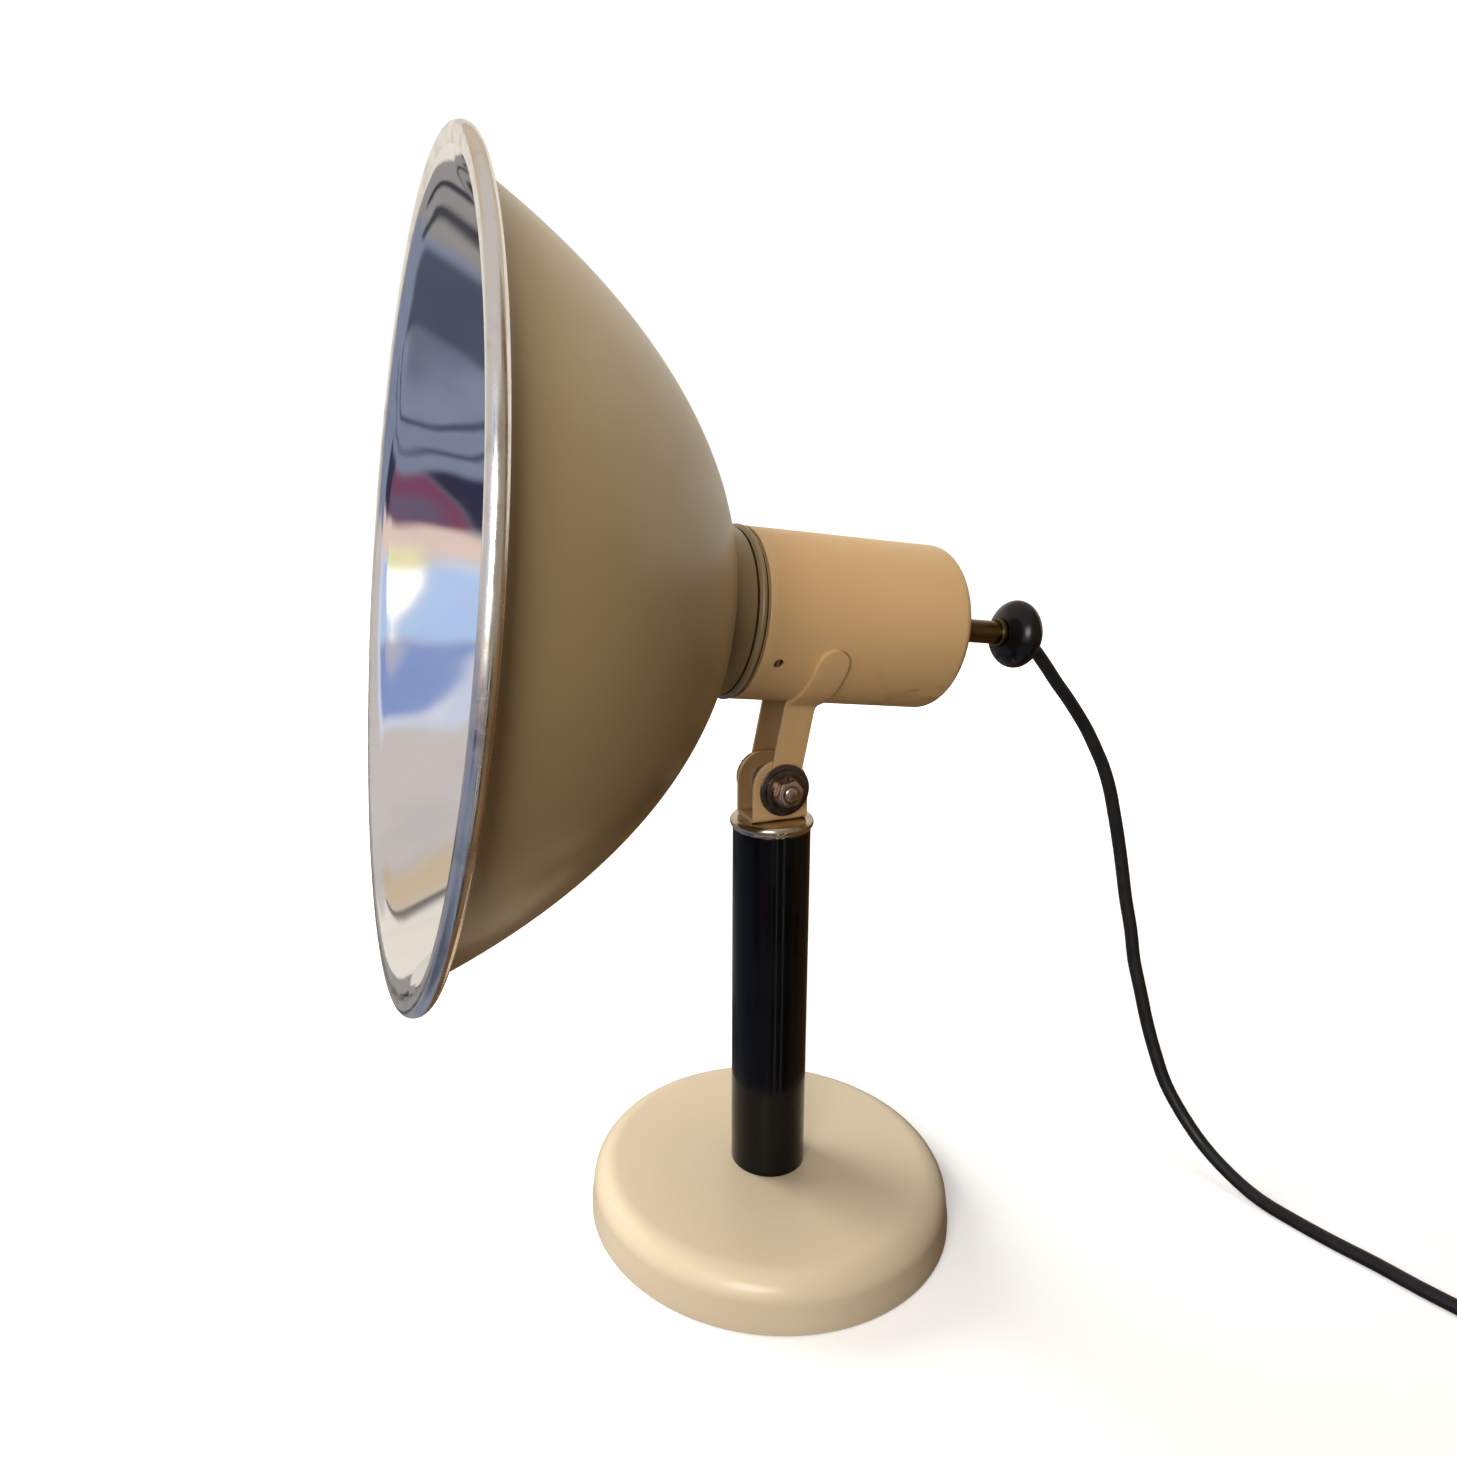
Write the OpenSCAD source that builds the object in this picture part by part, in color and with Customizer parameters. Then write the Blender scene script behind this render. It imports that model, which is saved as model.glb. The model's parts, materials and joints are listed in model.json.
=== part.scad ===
// Table sun lamp: a spun reflector and a lamp housing on a tilting yoke, a handle and a weighted base.
// Millimetres, +Z up. The origin is the centre of the felt pad's resting face, on the handle's axis.
// The lamp faces -X. The yoke tilts about Y, and the focusing tube slides along the lamp axis.

/* [Stand] */
// Diameter of the round base
base_d = 160; // [150:1:176]
// Height of the base, felt pad included
base_h = 23; // [22:0.5:28]
// Diameter of the handle tube
handle_d = 32.5; // [30:0.5:34]
// Length of the handle tube
handle_len = 158; // [140:1:180]
// Height of the pivot above the handle's top ring
pivot_rise = 14.5; // [14:0.5:18]

/* [Head] */
// Upward tilt of the lamp axis at rest, in degrees
rest_tilt = 7.5; // [0:0.5:15]
// Height of the lamp axis above the pivot
axis_rise = 69; // [64:1:76]
// Outside diameter of the lamp housing
can_d = 68; // [67:0.5:70]
// Rear end of the housing, measured back from the pivot's foot on the lamp axis
can_rear = 61.5; // [58:0.5:66]
// Front end of the housing, measured forward from the same foot
can_front = 27; // [26:0.5:28]

/* [Reflector] */
// Long half-axis of the ellipse that the bowl follows
bowl_a = 288.4; // [286:0.2:292]
// Short half-axis of the ellipse
bowl_b = 173.7; // [170:0.1:176]
// Centre of the ellipse, measured forward along the lamp axis
bowl_c = 324; // [322:0.5:327]
// Thickness of the spun sheet
sheet_t = 1.2; // [1:0.1:1.5]
// Radius of the rolled bead's section
bead_r = 3; // [2.6:0.1:3.4]
// Radius of the circle that the bead's middle follows
rim_r = 144.4; // [143:0.2:146]

/* [Focusing] */
// Diameter of the focusing tube
tube_d = 10; // [10:0.1:10.4]
// Diameter of the knob
knob_d = 29.5; // [26:0.5:34]
// Diameter of the bulb's globe
bulb_d = 80; // [70:1:84]

/* [Mains lead] */
// Diameter of the lead
cord_d = 6; // [5.4:0.1:6.2]

/* [Hidden] */
$fn = 96;
pivot_z = base_h + handle_len + 4.5 + pivot_rise;
can_r = can_d / 2;
can_t = 1;
handle_r = handle_d / 2;
handle_t = 2.5;
seat_r = handle_r - handle_t - 0.05;
cover_t = 1.2;
rod_r = 4;
ring_z = base_h + handle_len;
ring_h = 4.5;
web_t = 2;
web_z = ring_z + ring_h;

// Distances from the middle of the pivot: ear, friction disc, arm, washers and nut follow each other outwards
bolt_r = 3;
pivot_fit = 0.05;
ear_in = 6.7;
ear_out = ear_in + web_t;
ear_w = 24;
disc_out = ear_out + 0.5;
arm_t = 2;
arm_w = 13;
arm_in = disc_out + pivot_fit;
washer_in = arm_in + arm_t + pivot_fit;
washer_t = 1.2;
washer_out = washer_in + washer_t;
nut_washer_out = washer_out + 1;
spring_out = nut_washer_out + 1.4;
leg_h = 37;
saddle_s = -2.6;
saddle_end = 66;
saddle_len = 28;
saddle_t = 1.6;

cream = [0.86, 0.74, 0.56];
khaki = [0.56, 0.49, 0.37];
steel = [0.62, 0.62, 0.63];
dark_steel = [0.25, 0.22, 0.2];
brass = [0.72, 0.58, 0.32];
black = [0.05, 0.05, 0.05];

// Lead, from inside the focusing tube to the outside of the coil: it falls behind the housing to the table
route = [
    [95, 0, 257], [104, 0, 256], [111, 0, 255], [116, 0, 253.8], [121.5, 0, 251], [126.5, 0, 246.5],
    [133, 0, 239], [139, 0, 231.5], [146, 0, 223.5], [152, 0, 216], [158, 0, 208], [163, -1, 199],
    [168, -2, 189], [172, -3, 178], [175, -4, 166], [178, -5, 153], [180, -7, 139], [182, -9, 124],
    [184, -12, 109], [185, -15, 94], [187, -19, 79], [189, -23, 64], [191, -28, 50], [193, -34, 37],
    [196, -43, 25], [199, -54, 15], [202, -67, 8], [205, -81, 4], [209, -96, 3], [213, -111, 3],
    [218, -126, 3], [222, -141, 3], [227, -156, 3], [232, -171, 3], [234, -177, 3]
];
// Lead, from the top of the coil to the plug
tail = [[322.5, -188, 9], [326, -180.5, 8.7], [331, -171, 8]];
coil_at = [280, -185, 0];
coil_in = 22.5;
coil_out = 46.5;
coil_h = 12;
plug_turn = 65;
plug_len = 38;
plug_w = 30;
plug_t = 16;
pin_r = 2.4;
pin_y = 9.5;

// ---- Outlines -------------------------------------------------------------------------------------

function unit(v) = v / norm(v);

// Points of an arc about [cx, cy], from angle a0 to a1
function arc(cx, cy, r, a0, a1, n = 8) = [for (i = [0:n]) let(a = a0 + (a1 - a0) * i / n)
    [cx + r * cos(a), cy + r * sin(a)]];

// Points of a cubic curve with the ends p0 and p3 and the handles p1 and p2
function curve(p0, p1, p2, p3, n = 8) = [for (i = [0:n]) let(t = i / n, u = 1 - t)
    u * u * u * p0 + 3 * u * u * t * p1 + 3 * u * t * t * p2 + t * t * t * p3];

// The point beside path point i, at the distance d to its right, kept off the axis
function beside(path, i, d) = let(
    a = path[max(i - 1, 0)],
    b = path[min(i + 1, len(path) - 1)],
    t = unit(b - a),
    p = path[i] + d * [t.y, -t.x]
) [max(0, p.x), p.y];

// A strip of even thickness along a path: the section of a spun or pressed sheet
module strip(path, t) {
    last = len(path) - 1;
    polygon(concat(
        [for (i = [0:last]) beside(path, i, t / 2)],
        [for (i = [last:-1:0]) beside(path, i, -t / 2)]
    ));
}

// ---- Places ---------------------------------------------------------------------------------------

// The head's own upright frame, with the pivot at its origin
module in_head() translate([0, 0, pivot_z]) rotate([0, rest_tilt, 0]) children();

// The lamp axis becomes +Z, forward, and up becomes +X
module on_axis() in_head() translate([0, 0, axis_rise]) rotate([0, -90, 0]) children();

// A ring or disc about the lamp axis, from s0 to s1
module hoop(s0, s1, r_out, r_in = 0) translate([0, 0, s0]) difference() {
    cylinder(h = s1 - s0, r = r_out);
    if (r_in > 0) translate([0, 0, -1]) cylinder(h = s1 - s0 + 2, r = r_in);
}

// A ring or disc on the pivot axis, from y0 to y1
module pivot_hoop(y0, y1, r_out, r_in = 0) translate([0, y1, pivot_z]) rotate([90, 0, 0])
    hoop(0, y1 - y0, r_out, r_in);

// A hexagonal nut of the size af across its flats
module hex(af, h, bore = 0) difference() {
    cylinder(h = h, r = af / 2 / cos(30), $fn = 6);
    if (bore > 0) translate([0, 0, -1]) cylinder(h = h + 2, r = bore, $fn = 96);
}

// ---- Stand ----------------------------------------------------------------------------------------

module base_cover() color(cream) rotate_extrude($fn = 192) strip(concat(
    [[rod_r + 0.1, base_h - cover_t / 2]],
    arc(base_d / 2 - 12, base_h - 11, 11 - cover_t / 2, 90, 0, 12),
    [[base_d / 2 - cover_t / 2, 0.8]]
), cover_t);

module base_weight() color(dark_steel) difference() {
    rotate_extrude($fn = 192) polygon([
        [0, 3.2], [76, 3.2], [76, 13], [72, 18.5], [66, 20.5], [20, 20.5],
        [20, base_h - cover_t], [0, base_h - cover_t]
    ]);
    translate([0, 0, 3]) cylinder(h = 9, r = 14);
    cylinder(h = 30, r = rod_r + 0.1);
}

module base_plate() color(steel) hoop(1.8, 3.2, 77);

module base_pad() color([0.2, 0.3, 0.22]) hoop(0, 1.8, 76);

module tie_rod() color(steel) hoop(3.6, web_z + web_t + 4.4, rod_r);

module base_washer() color(steel) hoop(10.4, 12, 12, rod_r + 0.1);

module base_nut() color(steel) translate([0, 0, 4]) hex(13, 6.4, rod_r);

module handle_seat() color(steel) hoop(base_h, base_h + 14, seat_r, rod_r + 0.1);

module handle_tube() color(black) hoop(base_h, ring_z, handle_r, handle_r - handle_t);

module top_ring() color([0.8, 0.78, 0.74]) rotate_extrude() polygon(concat(
    [[rod_r + 0.1, ring_z - 6], [seat_r, ring_z - 6], [seat_r, ring_z], [handle_r + 0.2, ring_z]],
    arc(handle_r - 1.3, ring_z + 2.4, 2.5, -50, 57, 8),
    [[rod_r + 0.1, web_z]]
));

module clevis() color(cream) difference() {
    intersection() {
        // Folded strip, seen along X
        translate([-ear_w / 2, 0, 0]) rotate([90, 0, 90]) linear_extrude(ear_w) difference() {
            translate([0, web_z]) union() {
                translate([-ear_out + 3, 0]) square([2 * ear_out - 6, 6]);
                translate([-ear_out, 3]) square([2 * ear_out, pivot_rise + ear_w / 2 - 3]);
                for (side = [-1, 1]) translate([side * (ear_out - 3), 3]) circle(r = 3);
            }
            translate([-ear_in, web_z + web_t]) square([2 * ear_in, 60]);
        }
        // Ears with round tops, seen along Y
        translate([0, ear_out + 1, 0]) rotate([90, 0, 0]) linear_extrude(2 * ear_out + 2) union() {
            translate([-ear_w / 2, web_z - 1]) square([ear_w, pivot_rise + 1]);
            translate([0, pivot_z]) circle(r = ear_w / 2);
        }
    }
    pivot_hoop(-ear_out - 1, ear_out + 1, bolt_r + 0.1);
    cylinder(h = pivot_z, r = rod_r + 0.1);
}

module clevis_nut() color(steel) translate([0, 0, web_z + web_t]) hex(13, 3.9, rod_r);

// The hexagonal head is on the far side; the rounded end stands out of the nut
module pivot_bolt() color(dark_steel) {
    pivot_hoop(-spring_out - nut_h, washer_out, bolt_r);
    translate([0, -spring_out - nut_h + 0.5, pivot_z]) rotate([90, 0, 0]) rotate_extrude()
        polygon([[0, 0], [bolt_r, 0], [bolt_r, 0.7], [bolt_r - 0.7, 1.3], [0, 1.5]]);
    translate([0, washer_out + 4, pivot_z]) rotate([90, 0, 0]) hex(10, 4);
}

module pivot_washers() color(dark_steel) for (y0 = [-washer_out, washer_in])
    pivot_hoop(y0, y0 + washer_t, 10.8, bolt_r + 0.1);

module nut_washer() color(dark_steel) pivot_hoop(-nut_washer_out, -washer_out, 8.6, bolt_r + 0.1);

module spring_washer() color(dark_steel) difference() {
    pivot_hoop(-spring_out, -nut_washer_out, 6.1, bolt_r + 0.1);
    translate([-0.4, -spring_out - 1, pivot_z + 1]) cube([0.8, 3, 8]);
}

// Thin lock nut
nut_h = 3.2;

module pivot_nut() color(dark_steel)
    translate([0, -spring_out, pivot_z]) rotate([90, 12, 0]) hex(10, nut_h, bolt_r);

module friction_discs() color([0.35, 0.22, 0.15]) for (side = [0, 1]) mirror([0, side, 0])
    pivot_hoop(-disc_out, -ear_out, 8, bolt_r + 0.1);

// Keeps the ears apart when the nut is tightened
module pivot_bush() color(steel) pivot_hoop(-ear_in, ear_in, 6, bolt_r + 0.1);

// ---- Yoke and housing -----------------------------------------------------------------------------

// A strap that rises from the pivot and ends in a saddle round the housing, on the -Y side
module yoke_arm() color(cream) in_head() difference() {
    union() {
        translate([0, -arm_in, 0]) rotate([90, 0, 0]) linear_extrude(arm_t) union() {
            circle(d = arm_w);
            polygon([
                [-arm_w / 2, 0], [arm_w / 2, 0],
                [arm_w / 2 - saddle_s, leg_h], [-arm_w / 2 - saddle_s, leg_h]
            ]);
        }
        // Saddle: a skin of the housing's roundness, cut to a strap with a round end
        translate([-saddle_s, 0, axis_rise]) rotate([0, -90, 0]) intersection() {
            translate([0, 0, -arm_w]) cylinder(h = 2 * arm_w, r = can_r + saddle_t);
            rotate([0, 0, 180 + saddle_end]) rotate([0, 90, 0]) linear_extrude(2 * can_r) union() {
                circle(d = arm_w);
                translate([-arm_w / 2, -saddle_len]) square([arm_w, saddle_len]);
            }
        }
    }
    translate([-50, 0, axis_rise]) rotate([0, 90, 0]) cylinder(h = 100, r = can_r, $fn = 128);
    translate([0, 1, 0]) rotate([90, 0, 0]) cylinder(h = 30, r = bolt_r + pivot_fit);
}

module yoke_arm_left() mirror([0, 1, 0]) yoke_arm();

module yoke_arm_right() yoke_arm();

module lamp_housing() color(cream) on_axis() difference() {
    rotate_extrude($fn = 128) strip(concat(
        [[8.05, -can_rear + can_t / 2]],
        arc(can_r - 4, -can_rear + 4, 4 - can_t / 2, -90, 0, 8),
        [[can_r - can_t / 2, can_front]]
    ), can_t);
    for (k = [0:2]) at_screw(k) cylinder(h = 20, r = 2.1);
}

// A radial place at the front of the housing: the screws sit 120 degrees apart
module at_screw(k) translate([0, 0, 19.5]) rotate([0, 0, 180 + 64 + 120 * k]) rotate([0, 90, 0])
    translate([0, 0, can_r - 10]) children();

// A place on the circle of the rivets that join the collar and the reflector
module at_rivet(k) rotate([0, 0, 45 + 90 * k]) translate([28.6, 0, 0]) children();

module guide_bush() color(brass) on_axis() {
    hoop(-can_rear - 2, -can_rear, 11, tube_d / 2 + pivot_fit);
    hoop(-can_rear, -can_rear + 14, 8, tube_d / 2 + pivot_fit);
}

module guide_nut() color(brass) on_axis() translate([0, 0, -can_rear + can_t]) hex(22, 4, 8);

module reflector_collar() color(khaki) on_axis() difference() {
    union() {
        hoop(14, can_front + 0.6, can_r - can_t - 0.1, can_r - 2.8);
        hoop(can_front + 0.6, 47.2, can_r - 0.7, can_r - 2.8);
        hoop(45.6, 47.2, can_r - 2.8, 26);
        // Raised bead next to the housing
        rotate_extrude() translate([can_r - 0.9, can_front + 2.4]) circle(r = 1.5, $fn = 24);
    }
    for (k = [0:2]) at_screw(k) cylinder(h = 12, r = 2);
    for (k = [0:3]) at_rivet(k) hoop(40, 52, 1.5);
}

module housing_screws() color(dark_steel) on_axis() for (k = [0:2]) at_screw(k) translate([0, 0, 7])
    difference() {
        cylinder(h = 2.2, r = 2);
        translate([-3, -0.35, 1.3]) cube([6, 0.7, 2]);
    }

// ---- Reflector ------------------------------------------------------------------------------------

// Middle line of the sheet on its elliptical stretch, at the angle p from the ellipse's rear end
function bowl_at(p) = [(bowl_b - sheet_t / 2) * sin(p), bowl_c - (bowl_a - sheet_t / 2) * cos(p)];

// From the hole in the back, over the flat back wall and the bowl, to the front of the bead
bowl_first = 18.5;
bowl_last = 51.8;
rim_s = 150.5;
bowl_path = concat(
    [[26.6, 47.8], [36, 47.8]],
    curve([45, 47.8], [49, 47.8], bowl_at(bowl_first) - [3.5, 1.95], bowl_at(bowl_first), 5),
    [for (i = [1:20]) bowl_at(bowl_first + (bowl_last - bowl_first) * i / 20)],
    [for (i = [1:6]) curve(
        bowl_at(bowl_last), bowl_at(bowl_last) + [1.8, 3.9],
        [rim_r - 4.4, rim_s + bead_r - sheet_t / 2], [rim_r, rim_s + bead_r - sheet_t / 2], 6
    )[i]]
);

module reflector() color([0.85, 0.86, 0.88]) on_axis() difference() {
    rotate_extrude($fn = 256) union() {
        strip(bowl_path, sheet_t);
        translate([rim_r, rim_s]) difference() {
            circle(r = bead_r, $fn = 32);
            circle(r = bead_r - 1.1, $fn = 32);
        }
    }
    for (k = [0:3]) at_rivet(k) hoop(40, 52, 1.5);
}

module rim_wire() color(steel) on_axis() rotate_extrude($fn = 256) translate([rim_r, rim_s])
    circle(r = bead_r - 1.2, $fn = 24);

module collar_rivets() color([0.8, 0.8, 0.8]) on_axis() for (k = [0:3]) at_rivet(k) {
    hoop(44.8, 45.6, 2.2);
    hoop(45.6, 48.4, 1.5);
    hoop(48.4, 49.4, 2.2);
}

// ---- Focusing carriage ----------------------------------------------------------------------------

module focus_tube() color(brass) on_axis() {
    hoop(-105, -25.5, tube_d / 2, 3.6);
    hoop(-25.5, -24, 8, 3.6);
}

module tube_nut() color(brass) on_axis() translate([0, 0, -31.2]) hex(17, 4.2, tube_d / 2);

module holder_plate() color(steel) on_axis() difference() {
    hoop(-27, -25.5, 20, tube_d / 2);
    for (side = [-1, 1]) translate([0, side * 15, -30]) cylinder(h = 10, r = 1.6);
}

module holder_screws() color(steel) on_axis() for (side = [-1, 1]) translate([0, side * 15, 0]) {
    hoop(-29, -27, 2.8);
    hoop(-27, -18, 1.5);
}

module lampholder() color([0.93, 0.91, 0.86]) on_axis() difference() {
    rotate_extrude() polygon([
        [0, -25.5], [20, -25.5], [21, -24], [21, -4], [19.4, -2], [19.4, 22], [18.6, 24.5], [0, 24.5]
    ]);
    // Recess for the tube's flange, the terminals and the wires
    hoop(-26, -19, 12);
    // Mouth for the bulb
    hoop(-15, 25, 17.2);
    // Passage of the centre contact
    cylinder(h = 60, r = 2, center = true);
    for (side = [-1, 1]) {
        translate([0, side * 15, -26]) cylinder(h = 8.5, r = 1.5);
        translate([side * 9, 0, -20]) cylinder(h = 6, r = 1.5);
    }
}

// The thread of an E27 shell or cap, as rings: an outline about the mean radius r, from s = -9 to s = 12.6
function thread(r) = [for (i = [0:12]) [r + (i % 2 == 0 ? -0.55 : 0.55), -9 + i * 1.8]];

function back(path) = [for (i = [len(path) - 1:-1:0]) path[i]];

module screw_shell() color(brass) on_axis() difference() {
    rotate_extrude() polygon(concat(
        [[0, -15], [0, -14.4], [12.6, -14.4]], thread(14.1),
        [[14.6, 14], [17.1, 14], [17.1, 13.4], [15.2, 13.4]],
        back(thread(14.7)), [[13.2, -15]]
    ));
    translate([0, 0, -16]) cylinder(h = 2, r = 6.6);
}

module centre_contact() color(brass) on_axis() {
    hoop(-20, -14.2, 1.9);
    hoop(-14.2, -13.4, 6);
}

module terminals() color(brass) on_axis() for (side = [-1, 1]) translate([side * 9, 0, 0]) {
    translate([-2.2, -3, -22.6]) cube([4.4, 6, 2.6]);
    hoop(-20, -15, 1.4);
}

// Two insulated wires run through the tube and bend out to the terminals
module lead_wires() color([0.55, 0.12, 0.1]) on_axis() for (side = [-1, 1]) {
    translate([side * 1.5, 0, -84]) cylinder(h = 61, r = 1.1);
    translate([side * 1.5, 0, -23]) sphere(r = 1.1, $fn = 24);
    translate([side * 1.5, 0, -23]) rotate([0, side * 90, 0]) cylinder(h = 5.3, r = 1.1);
}

module bulb_cap() color(brass) on_axis() rotate_extrude() polygon(concat(
    [[0, -13.4], [4.5, -13.4], [4.5, -12.4], [11.5, -10]], thread(13.2),
    [[14.2, 14], [14.2, 17], [13.4, 17], [13.4, 13]],
    back(thread(12.6)), [[11, -9.2], [0, -11.4]]
));

// Middle line of the glass: neck, shoulder and globe
globe_s = 84;
globe_r = bulb_d / 2 - 0.4;
function globe_at(a) = [globe_r * cos(a), globe_s + globe_r * sin(a)];

glass_path = concat(
    [[12.9, 13.2], [12.9, 17.4], [14, 20]],
    curve([14.4, 26], [15.3, 44], globe_at(-40) - [7.7, 9.2], globe_at(-40), 8),
    [for (i = [1:13]) globe_at(-40 + 10 * i)]
);

module bulb_glass() color([0.95, 0.96, 0.97, 0.5]) on_axis() rotate_extrude() strip(glass_path, 0.8);

// Glass stem, two support wires and the wound filament
module bulb_filament() color(steel) on_axis() {
    hoop(14, 48, 4);
    for (side = [-1, 1])
        translate([side * 2, 0, 44]) rotate([0, side * 25, 0]) cylinder(h = 34, r = 0.5, $fn = 24);
    translate([-16.4, 0, 74.8]) rotate([0, 90, 0]) cylinder(h = 32.8, r = 1.2, $fn = 24);
}

module knob_ferrule() color(brass) on_axis() hoop(-99, -96.6, 6.2, tube_d / 2);

// Oblate knob with a shallow dish round the tube and a flared mouth for the lead
knob_s = -107.3;
knob_half = 8.2;

module knob() color(black) on_axis() rotate_extrude() polygon(concat(
    [[4.2, -105], [7.6, knob_s - knob_half + 0.6]],
    [for (a = [-66:12:66])
        [knob_d / 2 * cos(a) * (1 - 0.04 * pow(sin(a), 2)), knob_s + (knob_half + 0.5) * sin(a)]],
    [[tube_d / 2, -100], [tube_d / 2, -105]]
));

// ---- Mains lead -----------------------------------------------------------------------------------

function along(pts, i) = unit(pts[min(i + 1, len(pts) - 1)] - pts[max(i - 1, 0)]);

// Side vectors that turn with the route as little as they can
function sides_of(pts, i = 0, was = [0, 1, 0]) = let(
    t = along(pts, i),
    u = unit(was - (was * t) * t)
) i == len(pts) - 1 ? [u] : concat([u], sides_of(pts, i + 1, u));

// A tube of n sides through the points
module lead(pts, d, n = 10) {
    us = sides_of(pts);
    rings = len(pts);
    grow = d / 2 / sqrt(cos(180 / n));
    polyhedron(
        points = [for (i = [0:rings - 1], k = [0:n - 1])
            let(u = us[i], v = cross(along(pts, i), u), a = 360 * k / n)
            pts[i] + grow * (cos(a) * u + sin(a) * v)],
        faces = concat(
            [[for (k = [0:n - 1]) k]],
            [for (i = [0:rings - 2], k = [0:n - 1]) let(a = i * n + k, b = i * n + (k + 1) % n)
                [a, a + n, b + n, b]],
            [[for (k = [n - 1:-1:0]) (rings - 1) * n + k]]
        )
    );
}

module cord() color(black) {
    lead(route, cord_d - 0.1);
    lead(tail, cord_d - 0.1);
}

module cord_coil() color(black) translate(coil_at) rotate_extrude() union() {
    translate([coil_in + 3, 0]) square([coil_out - coil_in - 6, coil_h]);
    translate([coil_in, 3]) square([coil_out - coil_in, coil_h - 6]);
    for (x = [coil_in + 3, coil_out - 3], y = [3, coil_h - 3]) translate([x, y]) circle(r = 3, $fn = 32);
}

module at_plug() translate([tail[2].x, tail[2].y, 0]) rotate([0, 0, plug_turn]) children();

// Flat two-pin plug, narrow where the lead enters it
module plug_body() color(black) at_plug() difference() {
    intersection() {
        linear_extrude(plug_t) union() {
            polygon([[0, -7], [12, -plug_w / 2 + 2], [12, plug_w / 2 - 2], [0, 7]]);
            translate([12, -plug_w / 2 + 2]) square([plug_len - 12, plug_w - 4]);
            for (side = [-1, 1]) translate([14, side * (plug_w / 2 - 3)]) circle(r = 3);
            translate([14, -plug_w / 2]) square([plug_len - 14, plug_w]);
        }
        translate([0, plug_w, plug_t / 2]) rotate([90, 0, 0]) linear_extrude(2 * plug_w) union() {
            translate([3, -plug_t / 2]) square([plug_len - 4, plug_t]);
            translate([0, -plug_t / 2 + 3]) square([plug_len, plug_t - 6]);
            for (y = [-plug_t / 2 + 3, plug_t / 2 - 3]) translate([3, y]) circle(r = 3);
            for (y = [-plug_t / 2 + 3, plug_t / 2 - 3]) translate([plug_len - 3, y]) circle(r = 3);
        }
    }
    for (side = [-1, 1]) translate([plug_len - 8, side * pin_y, plug_t / 2]) rotate([0, 90, 0])
        cylinder(h = 20, r = pin_r);
}

module plug_pins() color([0.75, 0.75, 0.72]) at_plug() for (side = [-1, 1])
    translate([plug_len - 8, side * pin_y, plug_t / 2]) rotate([0, 90, 0]) {
        cylinder(h = 26, r = pin_r);
        translate([0, 0, 26]) cylinder(h = 1, r1 = pin_r, r2 = pin_r - 0.8);
    }

base_cover();
base_weight();
base_plate();
base_pad();
tie_rod();
base_washer();
base_nut();
handle_seat();
handle_tube();
top_ring();
clevis();
clevis_nut();
pivot_bolt();
pivot_washers();
nut_washer();
spring_washer();
pivot_nut();
friction_discs();
yoke_arm_left();
yoke_arm_right();
pivot_bush();
lamp_housing();
guide_bush();
guide_nut();
reflector_collar();
housing_screws();
reflector();
rim_wire();
collar_rivets();
focus_tube();
tube_nut();
holder_plate();
holder_screws();
lampholder();
screw_shell();
centre_contact();
terminals();
lead_wires();
bulb_cap();
bulb_glass();
bulb_filament();
knob_ferrule();
knob();
cord();
cord_coil();
plug_body();
plug_pins();
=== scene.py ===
"""Looks of a table sun lamp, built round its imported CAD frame. Sizes are in millimetres, meshes in metres."""

import json
import math

import bmesh
import bpy
from mathutils import Matrix, Vector


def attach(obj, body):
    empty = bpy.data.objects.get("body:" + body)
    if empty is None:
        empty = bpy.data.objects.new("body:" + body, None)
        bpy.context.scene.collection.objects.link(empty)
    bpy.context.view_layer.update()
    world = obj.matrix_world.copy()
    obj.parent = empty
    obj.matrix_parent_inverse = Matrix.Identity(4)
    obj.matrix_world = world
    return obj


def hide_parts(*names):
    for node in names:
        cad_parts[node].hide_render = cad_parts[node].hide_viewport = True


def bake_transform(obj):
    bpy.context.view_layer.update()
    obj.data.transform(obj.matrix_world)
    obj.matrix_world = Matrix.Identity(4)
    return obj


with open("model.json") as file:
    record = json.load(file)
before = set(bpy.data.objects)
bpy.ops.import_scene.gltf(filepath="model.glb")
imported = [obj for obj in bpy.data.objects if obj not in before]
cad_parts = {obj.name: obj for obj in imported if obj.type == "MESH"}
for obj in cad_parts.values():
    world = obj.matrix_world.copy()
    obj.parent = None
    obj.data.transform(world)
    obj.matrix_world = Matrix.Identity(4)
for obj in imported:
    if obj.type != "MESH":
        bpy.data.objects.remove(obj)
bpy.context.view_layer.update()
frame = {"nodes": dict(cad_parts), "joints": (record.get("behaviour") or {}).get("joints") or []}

MM = 0.001
JOINTS = {joint["name"]: joint for joint in frame["joints"]}
PIVOT = Vector(JOINTS["head_tilt"]["pos_m"])
FORWARD = Vector(JOINTS["focus_slide"]["axis"]).normalized()
UPWARD = FORWARD.cross(Vector((0, -1, 0))).normalized()
# How far the lamp's axis passes above the pivot
AXIS_RISE = 69

# ---- Places: each matrix takes a piece's own millimetres to the row frame

SCALE = Matrix.Scale(MM, 4)
AXES = Matrix((UPWARD, (0, 1, 0), FORWARD)).transposed().to_4x4()
STAND = SCALE
HEAD = Matrix.Translation(PIVOT) @ Matrix((-FORWARD, (0, 1, 0), UPWARD)).transposed().to_4x4() @ SCALE
LAMP_AXIS = Matrix.Translation(PIVOT + AXIS_RISE * MM * UPWARD) @ AXES @ SCALE
PIVOT_AXIS = Matrix.Translation(PIVOT) @ Matrix.Rotation(math.pi / 2, 4, "X") @ SCALE


# ---- Camera

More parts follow.
